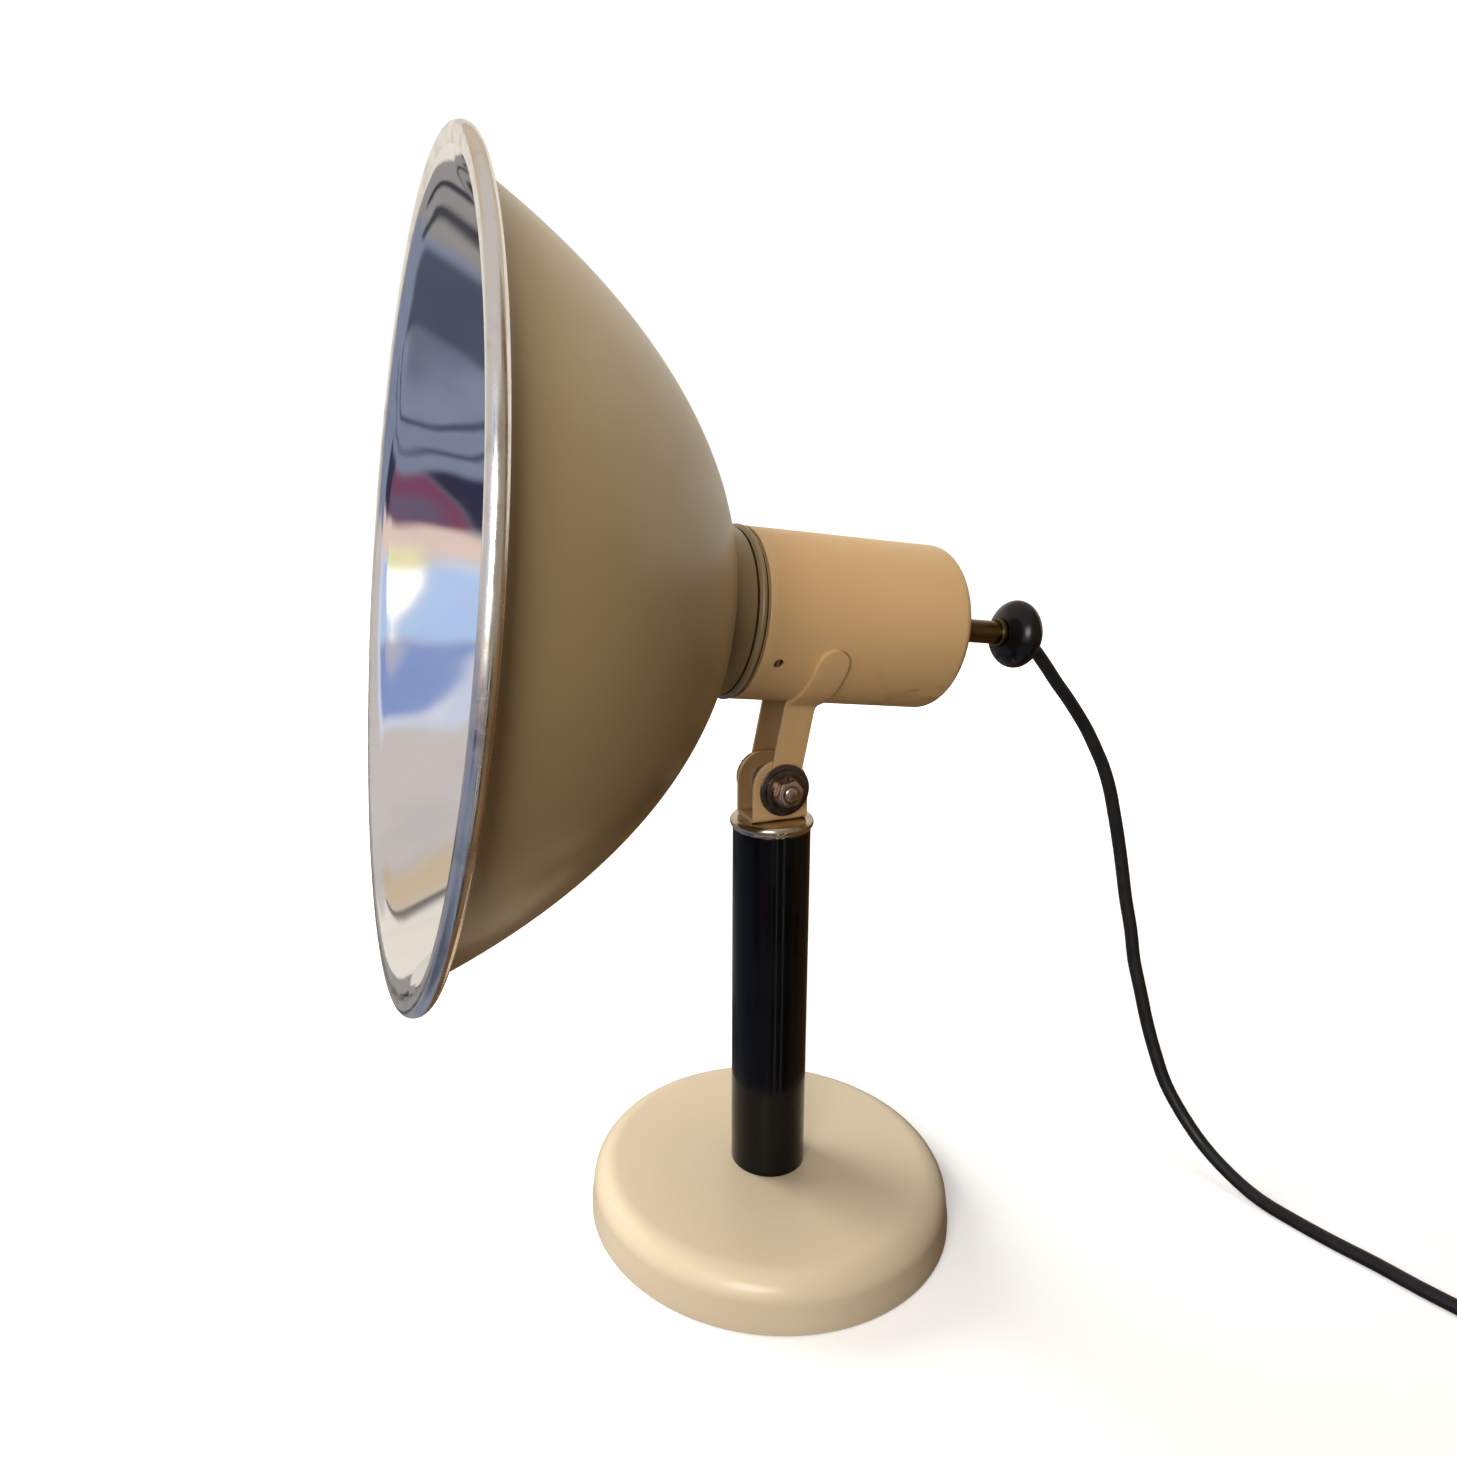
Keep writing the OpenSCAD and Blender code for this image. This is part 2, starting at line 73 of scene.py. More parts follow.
def make_camera():
    """The viewpoint of the main picture, with the shift that its framing needs."""
    forward = Vector((0.3070, 0.9205, -0.2416)).normalized()
    roll = -0.016
    side = forward.cross(Vector((0, 0, 1))).normalized()
    up = side.cross(forward)
    right = math.cos(roll) * side + math.sin(roll) * up
    top = math.cos(roll) * up - math.sin(roll) * side
    data = bpy.data.cameras.new("camera")
    data.sensor_width = 36
    data.lens = 26.18
    data.shift_x = 0.0549
    data.shift_y = -0.0044
    camera = bpy.data.objects.new("camera", data)
    turn = Matrix((right, top, -forward)).transposed().to_4x4()
    camera.matrix_world = Matrix.Translation((-0.18138, -0.38295, 0.33129)) @ turn
    bpy.context.scene.collection.objects.link(camera)
    bpy.context.scene.camera = camera


make_camera()

# ---- Mains lead: its route is the CAD cord's, in millimetres

ROUTE = [
    (95, 0, 257), (104, 0, 256), (111, 0, 255), (116, 0, 253.8), (121.5, 0, 251), (126.5, 0, 246.5),
    (133, 0, 239), (139, 0, 231.5), (146, 0, 223.5), (152, 0, 216), (158, 0, 208), (163, -1, 199),
    (168, -2, 189), (172, -3, 178), (175, -4, 166), (178, -5, 153), (180, -7, 139), (182, -9, 124),
    (184, -12, 109), (185, -15, 94), (187, -19, 79), (189, -23, 64), (191, -28, 50), (193, -34, 37),
    (196, -43, 25), (199, -54, 15), (202, -67, 8), (205, -81, 4), (209, -96, 3), (213, -111, 3),
    (218, -126, 3), (222, -141, 3), (227, -156, 3), (232, -171, 3), (234, -177, 3),
]
TAIL = [(322.5, -188, 9), (326, -180.5, 8.7), (331, -171, 8)]
CORD_D = 6
COIL_AT = Vector((280, -185, 0))
COIL_OUTER = 43.5
COIL_INNER = 25.5
COIL_START = 195
LOWER_TURNS = 3
UPPER_TURNS = 2 + 5 / 12
STEPS_A_TURN = 24


def smooth_step(t):
    t = min(max(t, 0.0), 1.0)
    return t * t * (3 - 2 * t)


def coil_points():
    """Three turns inwards on the table, a climb at the inside, and the rest outwards on top of them."""
    points = []
    for i in range(round((LOWER_TURNS + UPPER_TURNS) * STEPS_A_TURN) + 1):
        turns = i / STEPS_A_TURN
        if turns < LOWER_TURNS:
            r = COIL_OUTER - CORD_D * turns
        else:
            r = COIL_INNER + CORD_D * (turns - LOWER_TURNS)
        z = CORD_D / 2 + CORD_D * smooth_step((turns - LOWER_TURNS) / 0.25 + 0.55)
        a = math.radians(COIL_START) + 2 * math.pi * turns
        points.append(COIL_AT + Vector((r * math.cos(a), r * math.sin(a), z)))
    return points


def spline_through(points, steps):
    """A smooth curve through the points, by Catmull and Rom's rule."""
    ends = [2 * points[0] - points[1], *points, 2 * points[-1] - points[-2]]
    curve = []
    for a, b, c, d in zip(ends, ends[1:], ends[2:], ends[3:]):
        for i in range(steps):
            t = i / steps
            square, cube = 2 * a - 5 * b + 4 * c - d, 3 * b - a - 3 * c + d
            curve.append(0.5 * (2 * b + (c - a) * t + square * t**2 + cube * t**3))
    return [*curve, points[-1]]


# ---- Meshes

SHARP = math.radians(32)


def add_piece(name, bm, place, body, finish):
    """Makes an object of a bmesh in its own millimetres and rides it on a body."""
    bm.transform(place)
    bmesh.ops.recalc_face_normals(bm, faces=bm.faces)
    mesh = bpy.data.meshes.new(name)
    bm.to_mesh(mesh)
    bm.free()
    for key in finish if isinstance(finish, list) else [finish]:
        mesh.materials.append(FINISHES[key])
    mesh.shade_smooth()
    mesh.set_sharp_from_angle(angle=SHARP)
    piece = bpy.data.objects.new(name, mesh)
    bpy.context.scene.collection.objects.link(piece)
    if body:
        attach(piece, body)
    return piece


def joined(parts):
    """One bmesh out of several."""
    whole = bmesh.new()
    for part in parts:
        mesh = bpy.data.meshes.new("part")
        part.to_mesh(mesh)
        part.free()
        whole.from_mesh(mesh)
        bpy.data.meshes.remove(mesh)
    return whole


def soften(corners, steps=4, closed=True):
    """An outline with rounded corners: (x, y) each, or (x, y, how far from it the rounding starts)."""
    points = []
    count = len(corners)
    for i, corner in enumerate(corners):
        here = Vector(corner[:2])
        reach = corner[2] if len(corner) > 2 else 0
        if reach == 0 or (not closed and i in (0, count - 1)):
            points.append(here)
            continue
        before = Vector(corners[i - 1][:2]) - here
        after = Vector(corners[(i + 1) % count][:2]) - here
        start = here + before.normalized() * min(reach, before.length * 0.49)
        end = here + after.normalized() * min(reach, after.length * 0.49)
        for k in range(steps + 1):
            t = k / steps
            points.append((1 - t) ** 2 * start + 2 * t * (1 - t) * here + t**2 * end)
    return points


def arc(cx, cy, r, start, end, steps=8):
    """Points of an arc, from one angle in degrees to another."""
    angles = [math.radians(start + (end - start) * i / steps) for i in range(steps + 1)]
    return [Vector((cx + r * math.cos(a), cy + r * math.sin(a))) for a in angles]


def lathe(outline, steps=96, closed=True, band=lambda i, middle: 0, turn=0.0):
    """Turns an outline of (radius, height) about the local Z axis. band gives the material of a strip."""
    bm = bmesh.new()
    outline = [Vector(p) for p in outline]
    rings = []
    for r, h in outline:
        if r < 1e-6:
            rings.append([bm.verts.new((0, 0, h))])
        else:
            angles = [turn + 2 * math.pi * i / steps for i in range(steps)]
            rings.append([bm.verts.new((r * math.cos(a), r * math.sin(a), h)) for a in angles])
    pairs = list(zip(range(len(rings)), range(1, len(rings))))
    if closed:
        pairs.append((len(rings) - 1, 0))
    for i, j in pairs:
        a, b = rings[i], rings[j]
        if len(a) == 1 and len(b) == 1:
            continue
        middle = (outline[i] + outline[j]) / 2
        for k in range(steps):
            m = (k + 1) % steps
            corners = [a[k % len(a)], a[m % len(a)], b[m % len(b)], b[k % len(b)]]
            face = bm.faces.new(list(dict.fromkeys(corners)))
            face.material_index = band(i, middle)
    return bm


def join_rings(bm, rings, ends=True):
    """Faces from each ring of vertices to the next and, with ends, over the first and the last."""
    for a, b in zip(rings, rings[1:]):
        for k in range(len(a)):
            m = (k + 1) % len(a)
            bm.faces.new([a[k], a[m], b[m], b[k]])
    if ends:
        bm.faces.new(rings[0])
        bm.faces.new(rings[-1])


def tube(points, radius, sides=14):
    """A round tube along points, with closed ends."""
    bm = bmesh.new()
    rings = []
    side = Vector((0, 1, 0))
    for i, p in enumerate(points):
        along = (points[min(i + 1, len(points) - 1)] - points[max(i - 1, 0)]).normalized()
        side = (side - side.dot(along) * along).normalized()
        other = along.cross(side)
        angles = [2 * math.pi * k / sides for k in range(sides)]
        offsets = [radius * (math.cos(a) * side + math.sin(a) * other) for a in angles]
        rings.append([bm.verts.new(p + offset) for offset in offsets])
    join_rings(bm, rings)
    return bm


def bevel_edges(bm, width, steps=3, sharper=35):
    """Rounds the edges where two faces meet at more than some degrees."""
    edges = [e for e in bm.edges if e.is_manifold and e.calc_face_angle(0) > math.radians(sharper)]
    bmesh.ops.bevel(
        bm, geom=edges, offset=width, offset_type="OFFSET", segments=steps, profile=0.5, affect="EDGES",
        clamp_overlap=True,
    )


def strap(path, width, thickness, drift=lambda i, p: 0.0, round_ends=(True, True), edge=0.4):
    """A flat strap bent along a path in the y-z plane, its width along x. Its ends may be half round."""
    half = width / 2
    lengths = [0.0]
    for a, b in zip(path, path[1:]):
        lengths.append(lengths[-1] + (b - a).length)
    total = lengths[-1]
    marks = set(lengths[1:-1])
    arcs = [half * (1 - math.cos(math.radians(a))) for a in (3, 12, 22, 34, 46, 58, 70, 80, 90)]
    for v in list(marks):
        if (round_ends[0] and v < half) or (round_ends[1] and v > total - half):
            marks.discard(v)
    marks.update(arcs if round_ends[0] else [0.0])
    marks.update([total - v for v in arcs] if round_ends[1] else [total])
    bm = bmesh.new()
    rows = []
    for v in sorted(marks):
        i = max(k for k in range(len(lengths) - 1) if lengths[k] <= v + 1e-9)
        t = (v - lengths[i]) / (lengths[i + 1] - lengths[i])
        p = path[i].lerp(path[i + 1], t)
        before, after = path[max(i - 1, 0)], path[min(i + 2, len(path) - 1)]
        here = (path[i + 1] - path[i]).normalized()
        along = (here + (1 - t) * (path[i] - before).normalized() + t * (after - path[i + 1]).normalized())
        normal = Vector((-along.y, along.x)).normalized()
        w = half
        if round_ends[0] and v < half:
            w = math.sqrt(max(half**2 - (half - v) ** 2, 0.0))
        if round_ends[1] and total - v < half:
            w = math.sqrt(max(half**2 - (half - total + v) ** 2, 0.0))
        x0 = drift(v, total)
        row = []
        for side in (1, -1):
            q = p + side * thickness / 2 * normal
            row.append([bm.verts.new((x0 + w * u, q.x, q.y)) for u in (-1, -0.5, 0, 0.5, 1)])
        rows.append(row)
    for (top_a, low_a), (top_b, low_b) in zip(rows, rows[1:]):
        for k in range(4):
            bm.faces.new([top_a[k], top_a[k + 1], top_b[k + 1], top_b[k]])
            bm.faces.new([low_a[k + 1], low_a[k], low_b[k], low_b[k + 1]])
        bm.faces.new([top_a[0], top_b[0], low_b[0], low_a[0]])
        bm.faces.new([top_b[4], top_a[4], low_a[4], low_b[4]])
    for top, low in (rows[0], rows[-1]):
        for k in range(4):
            bm.faces.new([top[k], low[k], low[k + 1], top[k + 1]])
    bmesh.ops.recalc_face_normals(bm, faces=bm.faces)
    bevel_edges(bm, edge)
    return bm


def hex_piece(flats, height, bore=0.0, start=0.0, turn=0.0):
    """A nut or a bolt head on the local Z axis: a hexagon whose outer corners are turned to a cone."""
    bm = bmesh.new()
    per_side = 8
    chamfer_r = flats / 2 * 0.95
    slope = math.tan(math.radians(28))
    base, rim, top, inner, mouth = [], [], [], [], []
    for i in range(6 * per_side):
        a = 2 * math.pi * i / (6 * per_side) + turn
        local = (a - turn) % (math.pi / 3) - math.pi / 6
        r = flats / 2 / math.cos(local)
        drop = (r - chamfer_r) * slope
        c, s = math.cos(a), math.sin(a)
        base.append(bm.verts.new((r * c, r * s, start)))
        rim.append(bm.verts.new((r * c, r * s, start + height - drop)))
        top.append(bm.verts.new((chamfer_r * c, chamfer_r * s, start + height)))
        if bore:
            inner.append(bm.verts.new(((bore + 0.4) * c, (bore + 0.4) * s, start + height)))
            mouth.append(bm.verts.new((bore * c, bore * s, start + height - 0.4)))
    join_rings(bm, [base, rim, top, inner, mouth] if bore else [base, rim, top])
    return bm


# ---- Materials

def srgb(r, g, b):
    """A colour given as 0 to 255 sRGB, made linear."""
    parts = (r / 255, g / 255, b / 255)
    linear = [c / 12.92 if c <= 0.04045 else ((c + 0.055) / 1.055) ** 2.4 for c in parts]
    return (*linear, 1.0)


class Nodes:
    """Shader nodes that start from a place: a point of the object, or a direction of the sky."""

    def __init__(self, tree, coordinates):
        self.tree = tree
        self.place = self.add("ShaderNodeTexCoord").outputs[coordinates]

    def add(self, kind, **settings):
        node = self.tree.nodes.new(kind)
        for key, value in settings.items():
            setattr(node, key, value)
        return node

    def put(self, socket, value):
        if isinstance(value, bpy.types.NodeSocket):
            self.tree.links.new(value, socket)
        else:
            socket.default_value = value

    def noise(self, size_mm, detail=2.0, rough=0.5, distortion=0.0):
        """Noise from 0 to 1 whose features are about size_mm across."""
        noise = self.add("ShaderNodeTexNoise")
        self.put(noise.inputs["Vector"], self.place)
        noise.inputs["Scale"].default_value = 1000 / size_mm
        noise.inputs["Detail"].default_value = detail
        noise.inputs["Roughness"].default_value = rough
        noise.inputs["Distortion"].default_value = distortion
        return noise.outputs["Fac"]

    def ranged(self, value, low, high, to_low=0.0, to_high=1.0):
        node = self.add("ShaderNodeMapRange", interpolation_type="SMOOTHSTEP")
        for socket, number in zip(node.inputs, (value, low, high, to_low, to_high)):
            self.put(socket, number)
        return node.outputs["Result"]

    def math(self, operation, a, b=0.0):
        node = self.add("ShaderNodeMath", operation=operation)
        self.put(node.inputs[0], a)
        self.put(node.inputs[1], b)
        return node.outputs["Value"]

    def axis_part(self, axis):
        split = self.add("ShaderNodeSeparateXYZ")
        self.put(split.inputs["Vector"], self.place)
        return split.outputs[axis]

    def mixed(self, factor, before, after):
        mix = self.add("ShaderNodeMix", data_type="RGBA")
        sockets = (mix.inputs["Factor"], mix.inputs[6], mix.inputs[7])
        for socket, value in zip(sockets, (factor, before, after)):
            self.put(socket, value)
        return mix.outputs[2]


class Finish(Nodes):
    """A material being made: its shader and the nodes that feed it, in the object's own coordinates."""

    def __init__(self, name, colour, roughness, metallic=0.0, **constants):
        self.material = bpy.data.materials.new(name)
        self.material.use_nodes = True
        super().__init__(self.material.node_tree, "Object")
        self.shader = self.tree.nodes["Principled BSDF"]
        self.shader.inputs["Base Color"].default_value = colour
        self.shader.inputs["Roughness"].default_value = roughness
        self.shader.inputs["Metallic"].default_value = metallic
        for socket, value in constants.items():
            self.shader.inputs[socket.replace("_", " ")].default_value = value
        self.colour = colour
        self.normal = None

    def tint(self, factor, colour):
        """Mixes another colour into what the surface has so far."""
        self.colour = self.mixed(factor, self.colour, colour)
        self.put(self.shader.inputs["Base Color"], self.colour)

    def roughen(self, factor, low, high):
        self.put(self.shader.inputs["Roughness"], self.ranged(factor, 0.3, 0.7, low, high))

    def bump(self, height, depth_mm, strength=1.0):
        """Adds a bump of about depth_mm to those that are there."""
        node = self.add("ShaderNodeBump")
        node.inputs["Strength"].default_value = strength
        node.inputs["Distance"].default_value = depth_mm * MM
        self.put(node.inputs["Height"], height)
        if self.normal:
            self.put(node.inputs["Normal"], self.normal)
        self.normal = node.outputs["Normal"]
        self.put(self.shader.inputs["Normal"], self.normal)


def enamel(name, colour, dark, roughness, coat, patches_mm=90):
    """Stove enamel: a faint orange peel, slow changes of tone, and a few specks."""
    f = Finish(name, colour, roughness, Coat_Weight=coat, Coat_Roughness=0.16, IOR=1.5)
    f.tint(f.ranged(f.noise(patches_mm, 1), 0.3, 0.8, 0.0, 0.3), dark)
    f.tint(f.ranged(f.noise(2.2, 1), 0.76, 0.82, 0.0, 0.4), dark)
    f.roughen(f.noise(35, 2), roughness * 0.9, roughness * 1.15)
    f.bump(f.noise(2.6, 1), 0.012, 0.4)
    return f


def metal(name, colour, dark, roughness, grain_mm=1.2):
    """A worn metal: patches of tarnish and fine handling marks."""
    f = Finish(name, colour, roughness, metallic=1.0)
    f.tint(f.ranged(f.noise(9, 4), 0.4, 0.75, 0.0, 0.7), dark)
    f.roughen(f.noise(6, 4), roughness * 0.75, roughness * 1.4)
    f.bump(f.noise(grain_mm, 3), 0.02, 0.35)
    return f


def moulded(name, colour, pale, roughness, coat=0.0):
    """A moulded or turned non-metal with a fine surface."""
    f = Finish(name, colour, roughness, Coat_Weight=coat, Coat_Roughness=0.08)
    f.tint(f.ranged(f.noise(14, 3), 0.45, 0.8, 0.0, 0.5), pale)
    f.roughen(f.noise(8, 3), roughness * 0.8, roughness * 1.3)
    f.bump(f.noise(0.9, 2), 0.012, 0.4)
    return f


CREAM = srgb(217, 200, 171)
CREAM_DARK = srgb(203, 180, 146)
# HOUSING is the base's cream paint drawn darker and more tan, for the shade behind the bowl: painted shade.
HOUSING = srgb(206, 170, 121)
HOUSING_DARK = srgb(190, 151, 104)
KHAKI = srgb(185, 163, 120)
KHAKI_DARK = srgb(166, 142, 99)


def make_cream():
    return enamel("cream_enamel", CREAM, CREAM_DARK, 0.36, 0.25).material


def make_housing_cream():
    """The housing's enamel, darker in patches towards its lower rear."""
    f = enamel("housing_enamel", HOUSING, HOUSING_DARK, 0.42, 0.12, 60)
    low = f.ranged(f.axis_part("Z"), 0.262, 0.236)
    rear = f.ranged(f.axis_part("X"), 0.005, 0.05)
    lower_rear_patches = f.ranged(f.noise(11, 3, 0.6), 0.48, 0.72, 0.0, 0.5)
    f.tint(f.math("MULTIPLY", f.math("MULTIPLY", low, rear), lower_rear_patches), srgb(132, 104, 78))
    return f.material


def make_fork_with_painted_shade(name, inside):
    """The housing's enamel, darker on the faces that look at each other inside the fork: painted shade."""
    f = enamel(name, HOUSING, HOUSING_DARK, 0.42, 0.12, 60)
    depth = f.math("ABSOLUTE", f.axis_part("Y"))
    # Darker brown on the inner faces, towards the middle of the fork: painted shade.
    f.tint(f.ranged(depth, inside - 0.0002, inside + 0.0002, 0.8, 0.0), srgb(138, 110, 74))
    return f.material


def make_khaki():
    f = enamel("khaki_enamel", KHAKI, KHAKI_DARK, 0.36, 0.2, 140)
    # Darker and browner towards the bottom of the bowl: painted shade.
    f.tint(f.ranged(f.axis_part("Z"), 0.22, 0.12, 0.0, 0.5), srgb(136, 108, 74))
    return f.material


def make_collar_khaki():
    return enamel("collar_enamel", srgb(150, 129, 93), srgb(134, 112, 77), 0.36, 0.2, 140).material


def make_polished():
    """Polished spun aluminium: a mirror with slow waves and faint turning marks."""
    f = Finish("polished_aluminium", srgb(236, 236, 238), 0.05, metallic=1.0)
    f.tint(f.ranged(f.noise(70, 3, distortion=1.5), 0.42, 0.7, 0.0, 0.25), srgb(196, 200, 214))
    f.roughen(f.noise(30, 4), 0.035, 0.09)
    f.bump(f.noise(55, 1), 0.5, 0.4)
    f.bump(f.noise(0.7, 1), 0.003, 0.4)
    return f.material


def make_bead():
    f = Finish("rim_aluminium", srgb(232, 231, 229), 0.24, metallic=1.0)
    f.tint(f.ranged(f.noise(12, 4), 0.5, 0.75, 0.0, 0.5), srgb(176, 172, 164))
    f.roughen(f.noise(7, 4), 0.16, 0.32)
    f.bump(f.noise(1.4, 3), 0.02, 0.35)
    return f.material


def make_lacquer():
    f = Finish("black_lacquer", srgb(6, 6, 9), 0.16, Specular_IOR_Level=0.14, Coat_Weight=0.08)
    f.tint(f.ranged(f.noise(25, 3), 0.4, 0.8, 0.0, 0.5), srgb(11, 11, 15))
    f.roughen(f.noise(12, 4), 0.13, 0.24)
    f.bump(f.noise(30, 1), 0.1, 0.15)
    f.bump(f.noise(1.6, 2), 0.006, 0.3)
    return f.material


def make_bakelite():
    f = Finish("bakelite", srgb(12, 11, 11), 0.2, Specular_IOR_Level=0.3)
    f.tint(f.ranged(f.noise(14, 3), 0.45, 0.8, 0.0, 0.5), srgb(20, 17, 16))
    f.roughen(f.noise(8, 3), 0.17, 0.3)
    f.bump(f.noise(0.9, 2), 0.012, 0.4)
    return f.material


def make_rubber():
    """Smooth black sheath with a dull bloom."""
    f = Finish("cord_rubber", srgb(15, 14, 15), 0.42, Specular_IOR_Level=0.35)
    f.tint(f.ranged(f.noise(10, 4), 0.4, 0.8, 0.0, 0.6), srgb(27, 26, 26))
    f.roughen(f.noise(5, 3), 0.34, 0.55)
    f.bump(f.noise(1.1, 2), 0.02, 0.4)
    return f.material


def make_felt():
    f = Finish("felt", srgb(58, 74, 58), 0.95, Sheen_Weight=0.5)
    f.tint(f.ranged(f.noise(3, 5, 0.7), 0.35, 0.7), srgb(38, 50, 40))
    f.bump(f.noise(0.5, 4, 0.7), 0.25, 0.8)
    return f.material


def make_bulb():
    """Glass, frosted on the inside."""
    f = Finish("bulb_glass", (1, 1, 1, 1), 0.22, Transmission_Weight=0.85, IOR=1.45)
    f.tint(f.ranged(f.noise(30, 2), 0.4, 0.7, 0.0, 0.3), srgb(236, 240, 246))
    f.roughen(f.noise(20, 3), 0.18, 0.3)
    f.bump(f.noise(0.5, 2), 0.006, 0.3)
    return f.material


FINISHES = {
    "cream_enamel": make_cream(),
    "housing_enamel": make_housing_cream(),
    # arm_enamel and bracket_enamel carry painted shade on the fork's inner faces.
    "arm_enamel": make_fork_with_painted_shade("arm_enamel", 0.01),
    "bracket_enamel": make_fork_with_painted_shade("bracket_enamel", 0.0074),
    "khaki_enamel": make_khaki(),
    "collar_enamel": make_collar_khaki(),
    # A dark brown for the collar's groove and its gap to the housing: painted shade.
    "groove_shade": moulded("groove_shade", srgb(52, 44, 32), srgb(36, 30, 22), 0.6).material,
    "polished_aluminium": make_polished(),
    "rim_aluminium": make_bead(),
    "rivet_aluminium": metal("rivet_aluminium", srgb(206, 206, 208), srgb(160, 160, 160), 0.3).material,
    "cast_iron": metal("cast_iron", srgb(74, 70, 66), srgb(50, 44, 40), 0.6, 2.5).material,
    "zinc_steel": metal("zinc_steel", srgb(176, 178, 182), srgb(140, 138, 132), 0.32).material,
    "nickel": metal("nickel", srgb(196, 184, 160), srgb(128, 110, 82), 0.16).material,
    "bronzed_steel": metal("bronzed_steel", srgb(108, 94, 86), srgb(64, 52, 48), 0.25).material,
    "worn_steel": metal("worn_steel", srgb(184, 166, 152), srgb(126, 108, 98), 0.24).material,
    "dark_brass": metal("dark_brass", srgb(104, 88, 60), srgb(66, 52, 36), 0.3).material,
    # A dark brown strip beside each saddle tab: painted shadow.
    "grime": moulded("grime", srgb(104, 76, 48), srgb(126, 96, 64), 0.7).material,
    "black_lacquer": make_lacquer(),
    "felt": make_felt(),
    "fibre": moulded("fibre", srgb(92, 62, 44), srgb(120, 86, 62), 0.7).material,
    "brass": metal("brass", srgb(150, 128, 82), srgb(92, 76, 48), 0.3).material,
    "porcelain": moulded("porcelain", srgb(232, 228, 216), srgb(214, 206, 190), 0.18, 0.5).material,
    "bulb_glass": make_bulb(),
    "filament": metal("filament", srgb(150, 148, 150), srgb(96, 96, 100), 0.4).material,
    "wire_insulation": moulded("wire_insulation", srgb(124, 40, 34), srgb(98, 30, 28), 0.5).material,
    "bakelite": make_bakelite(),
    "cord_rubber": make_rubber(),
}

# ---- Stand

BASE_R = 80
BASE_H = 23
EDGE_R = 11
COVER_T = 1.2
HANDLE_R = 16.25
HANDLE_TOP = 181
RING_H = 4.5
WEB_Z = HANDLE_TOP + RING_H
PIVOT_Z = 200
BOLT_R = 3
EAR_W = 24
EAR_T = 2
# Distances from the middle of the pivot
EAR_OUT = 8.7
ARM_IN = 9.25
ARM_T = 1.7
ARM_W = 13
WASHER_IN = 11.3
WASHER_OUT = 12.5
NUT_WASHER_OUT = 13.5
SPRING_OUT = 14.9
NUT_H = 3.2
BOLT_HEAD_H = 4
PIVOT_FLATS = 10
WASHER_R = 10.8
NUT_WASHER_R = 8.6
SPRING_R = 6.1


def make_base():
    """The pressed cover: flat top, rounded edge and a straight skirt."""
    hole_r, edge_x, edge_z = HANDLE_R - 4, BASE_R - EDGE_R - 1, BASE_H - EDGE_R
    outer = [(hole_r, BASE_H), (BASE_R / 2, BASE_H), *arc(edge_x, edge_z, EDGE_R, 90, 0, 20)]
    outer += [(BASE_R, 5), (BASE_R, 0.6), (BASE_R - 0.3, 0.2)]
    inner = [(BASE_R - COVER_T + 0.3, 0.2), (BASE_R - COVER_T, 0.6)]
    inner += [*arc(edge_x, edge_z, EDGE_R - COVER_T, 0, 90, 12), (hole_r, BASE_H - COVER_T)]
    cover = add_piece("base_shell", lathe(outer + inner, 192), STAND, "stand", "cream_enamel")
    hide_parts("base_cover")


def make_handle():
    bore, edge = HANDLE_R - 2.5, 0.5
    foot = [(bore, BASE_H), (HANDLE_R, BASE_H, edge)]
    outline = soften([*foot, (HANDLE_R, HANDLE_TOP, edge), (bore, HANDLE_TOP)])
    handle = add_piece("handle", lathe(outline, 128), STAND, "stand", "black_lacquer")
    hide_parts("handle_tube")


def make_ring():
    """The nickelled ferrule, which bulges round its middle."""
    bore, bulge_r = 5, 2.5
    outline = [(bore, HANDLE_TOP), (HANDLE_R + 0.15, HANDLE_TOP)]
    outline += arc(HANDLE_R - 1.3, HANDLE_TOP + 2.4, bulge_r, -52, 57, 14)
    outline += [(HANDLE_R - 0.3, WEB_Z), (bore, WEB_Z)]
    ring = add_piece("handle_ferrule", lathe(outline, 128), STAND, "stand", "nickel")
    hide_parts("top_ring")


def make_clevis():
    """A folded bracket whose ears have round tops."""
    ear_y, web_z, top, bend = EAR_OUT - EAR_T / 2, WEB_Z + EAR_T / 2, PIVOT_Z + EAR_W / 2, 2.2
    path = soften([(-ear_y, top), (-ear_y, web_z, bend), (ear_y, web_z, bend), (ear_y, top)], 6, closed=False)
    clevis = add_piece("bracket", strap(path, EAR_W, EAR_T), STAND, "stand", "bracket_enamel")
    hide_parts("clevis")


def make_washer(name, node, outer, start, end):
    """A steel washer on the pivot bolt. Heights run towards -Y."""
    edge = 0.25
    inner = BOLT_R + 0.1
    outline = soften([(inner, start, edge), (outer, start, edge), (outer, end, edge), (inner, end, edge)])
    piece = add_piece(name, lathe(outline, 96), PIVOT_AXIS, "stand", "bronzed_steel")
    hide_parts(node)


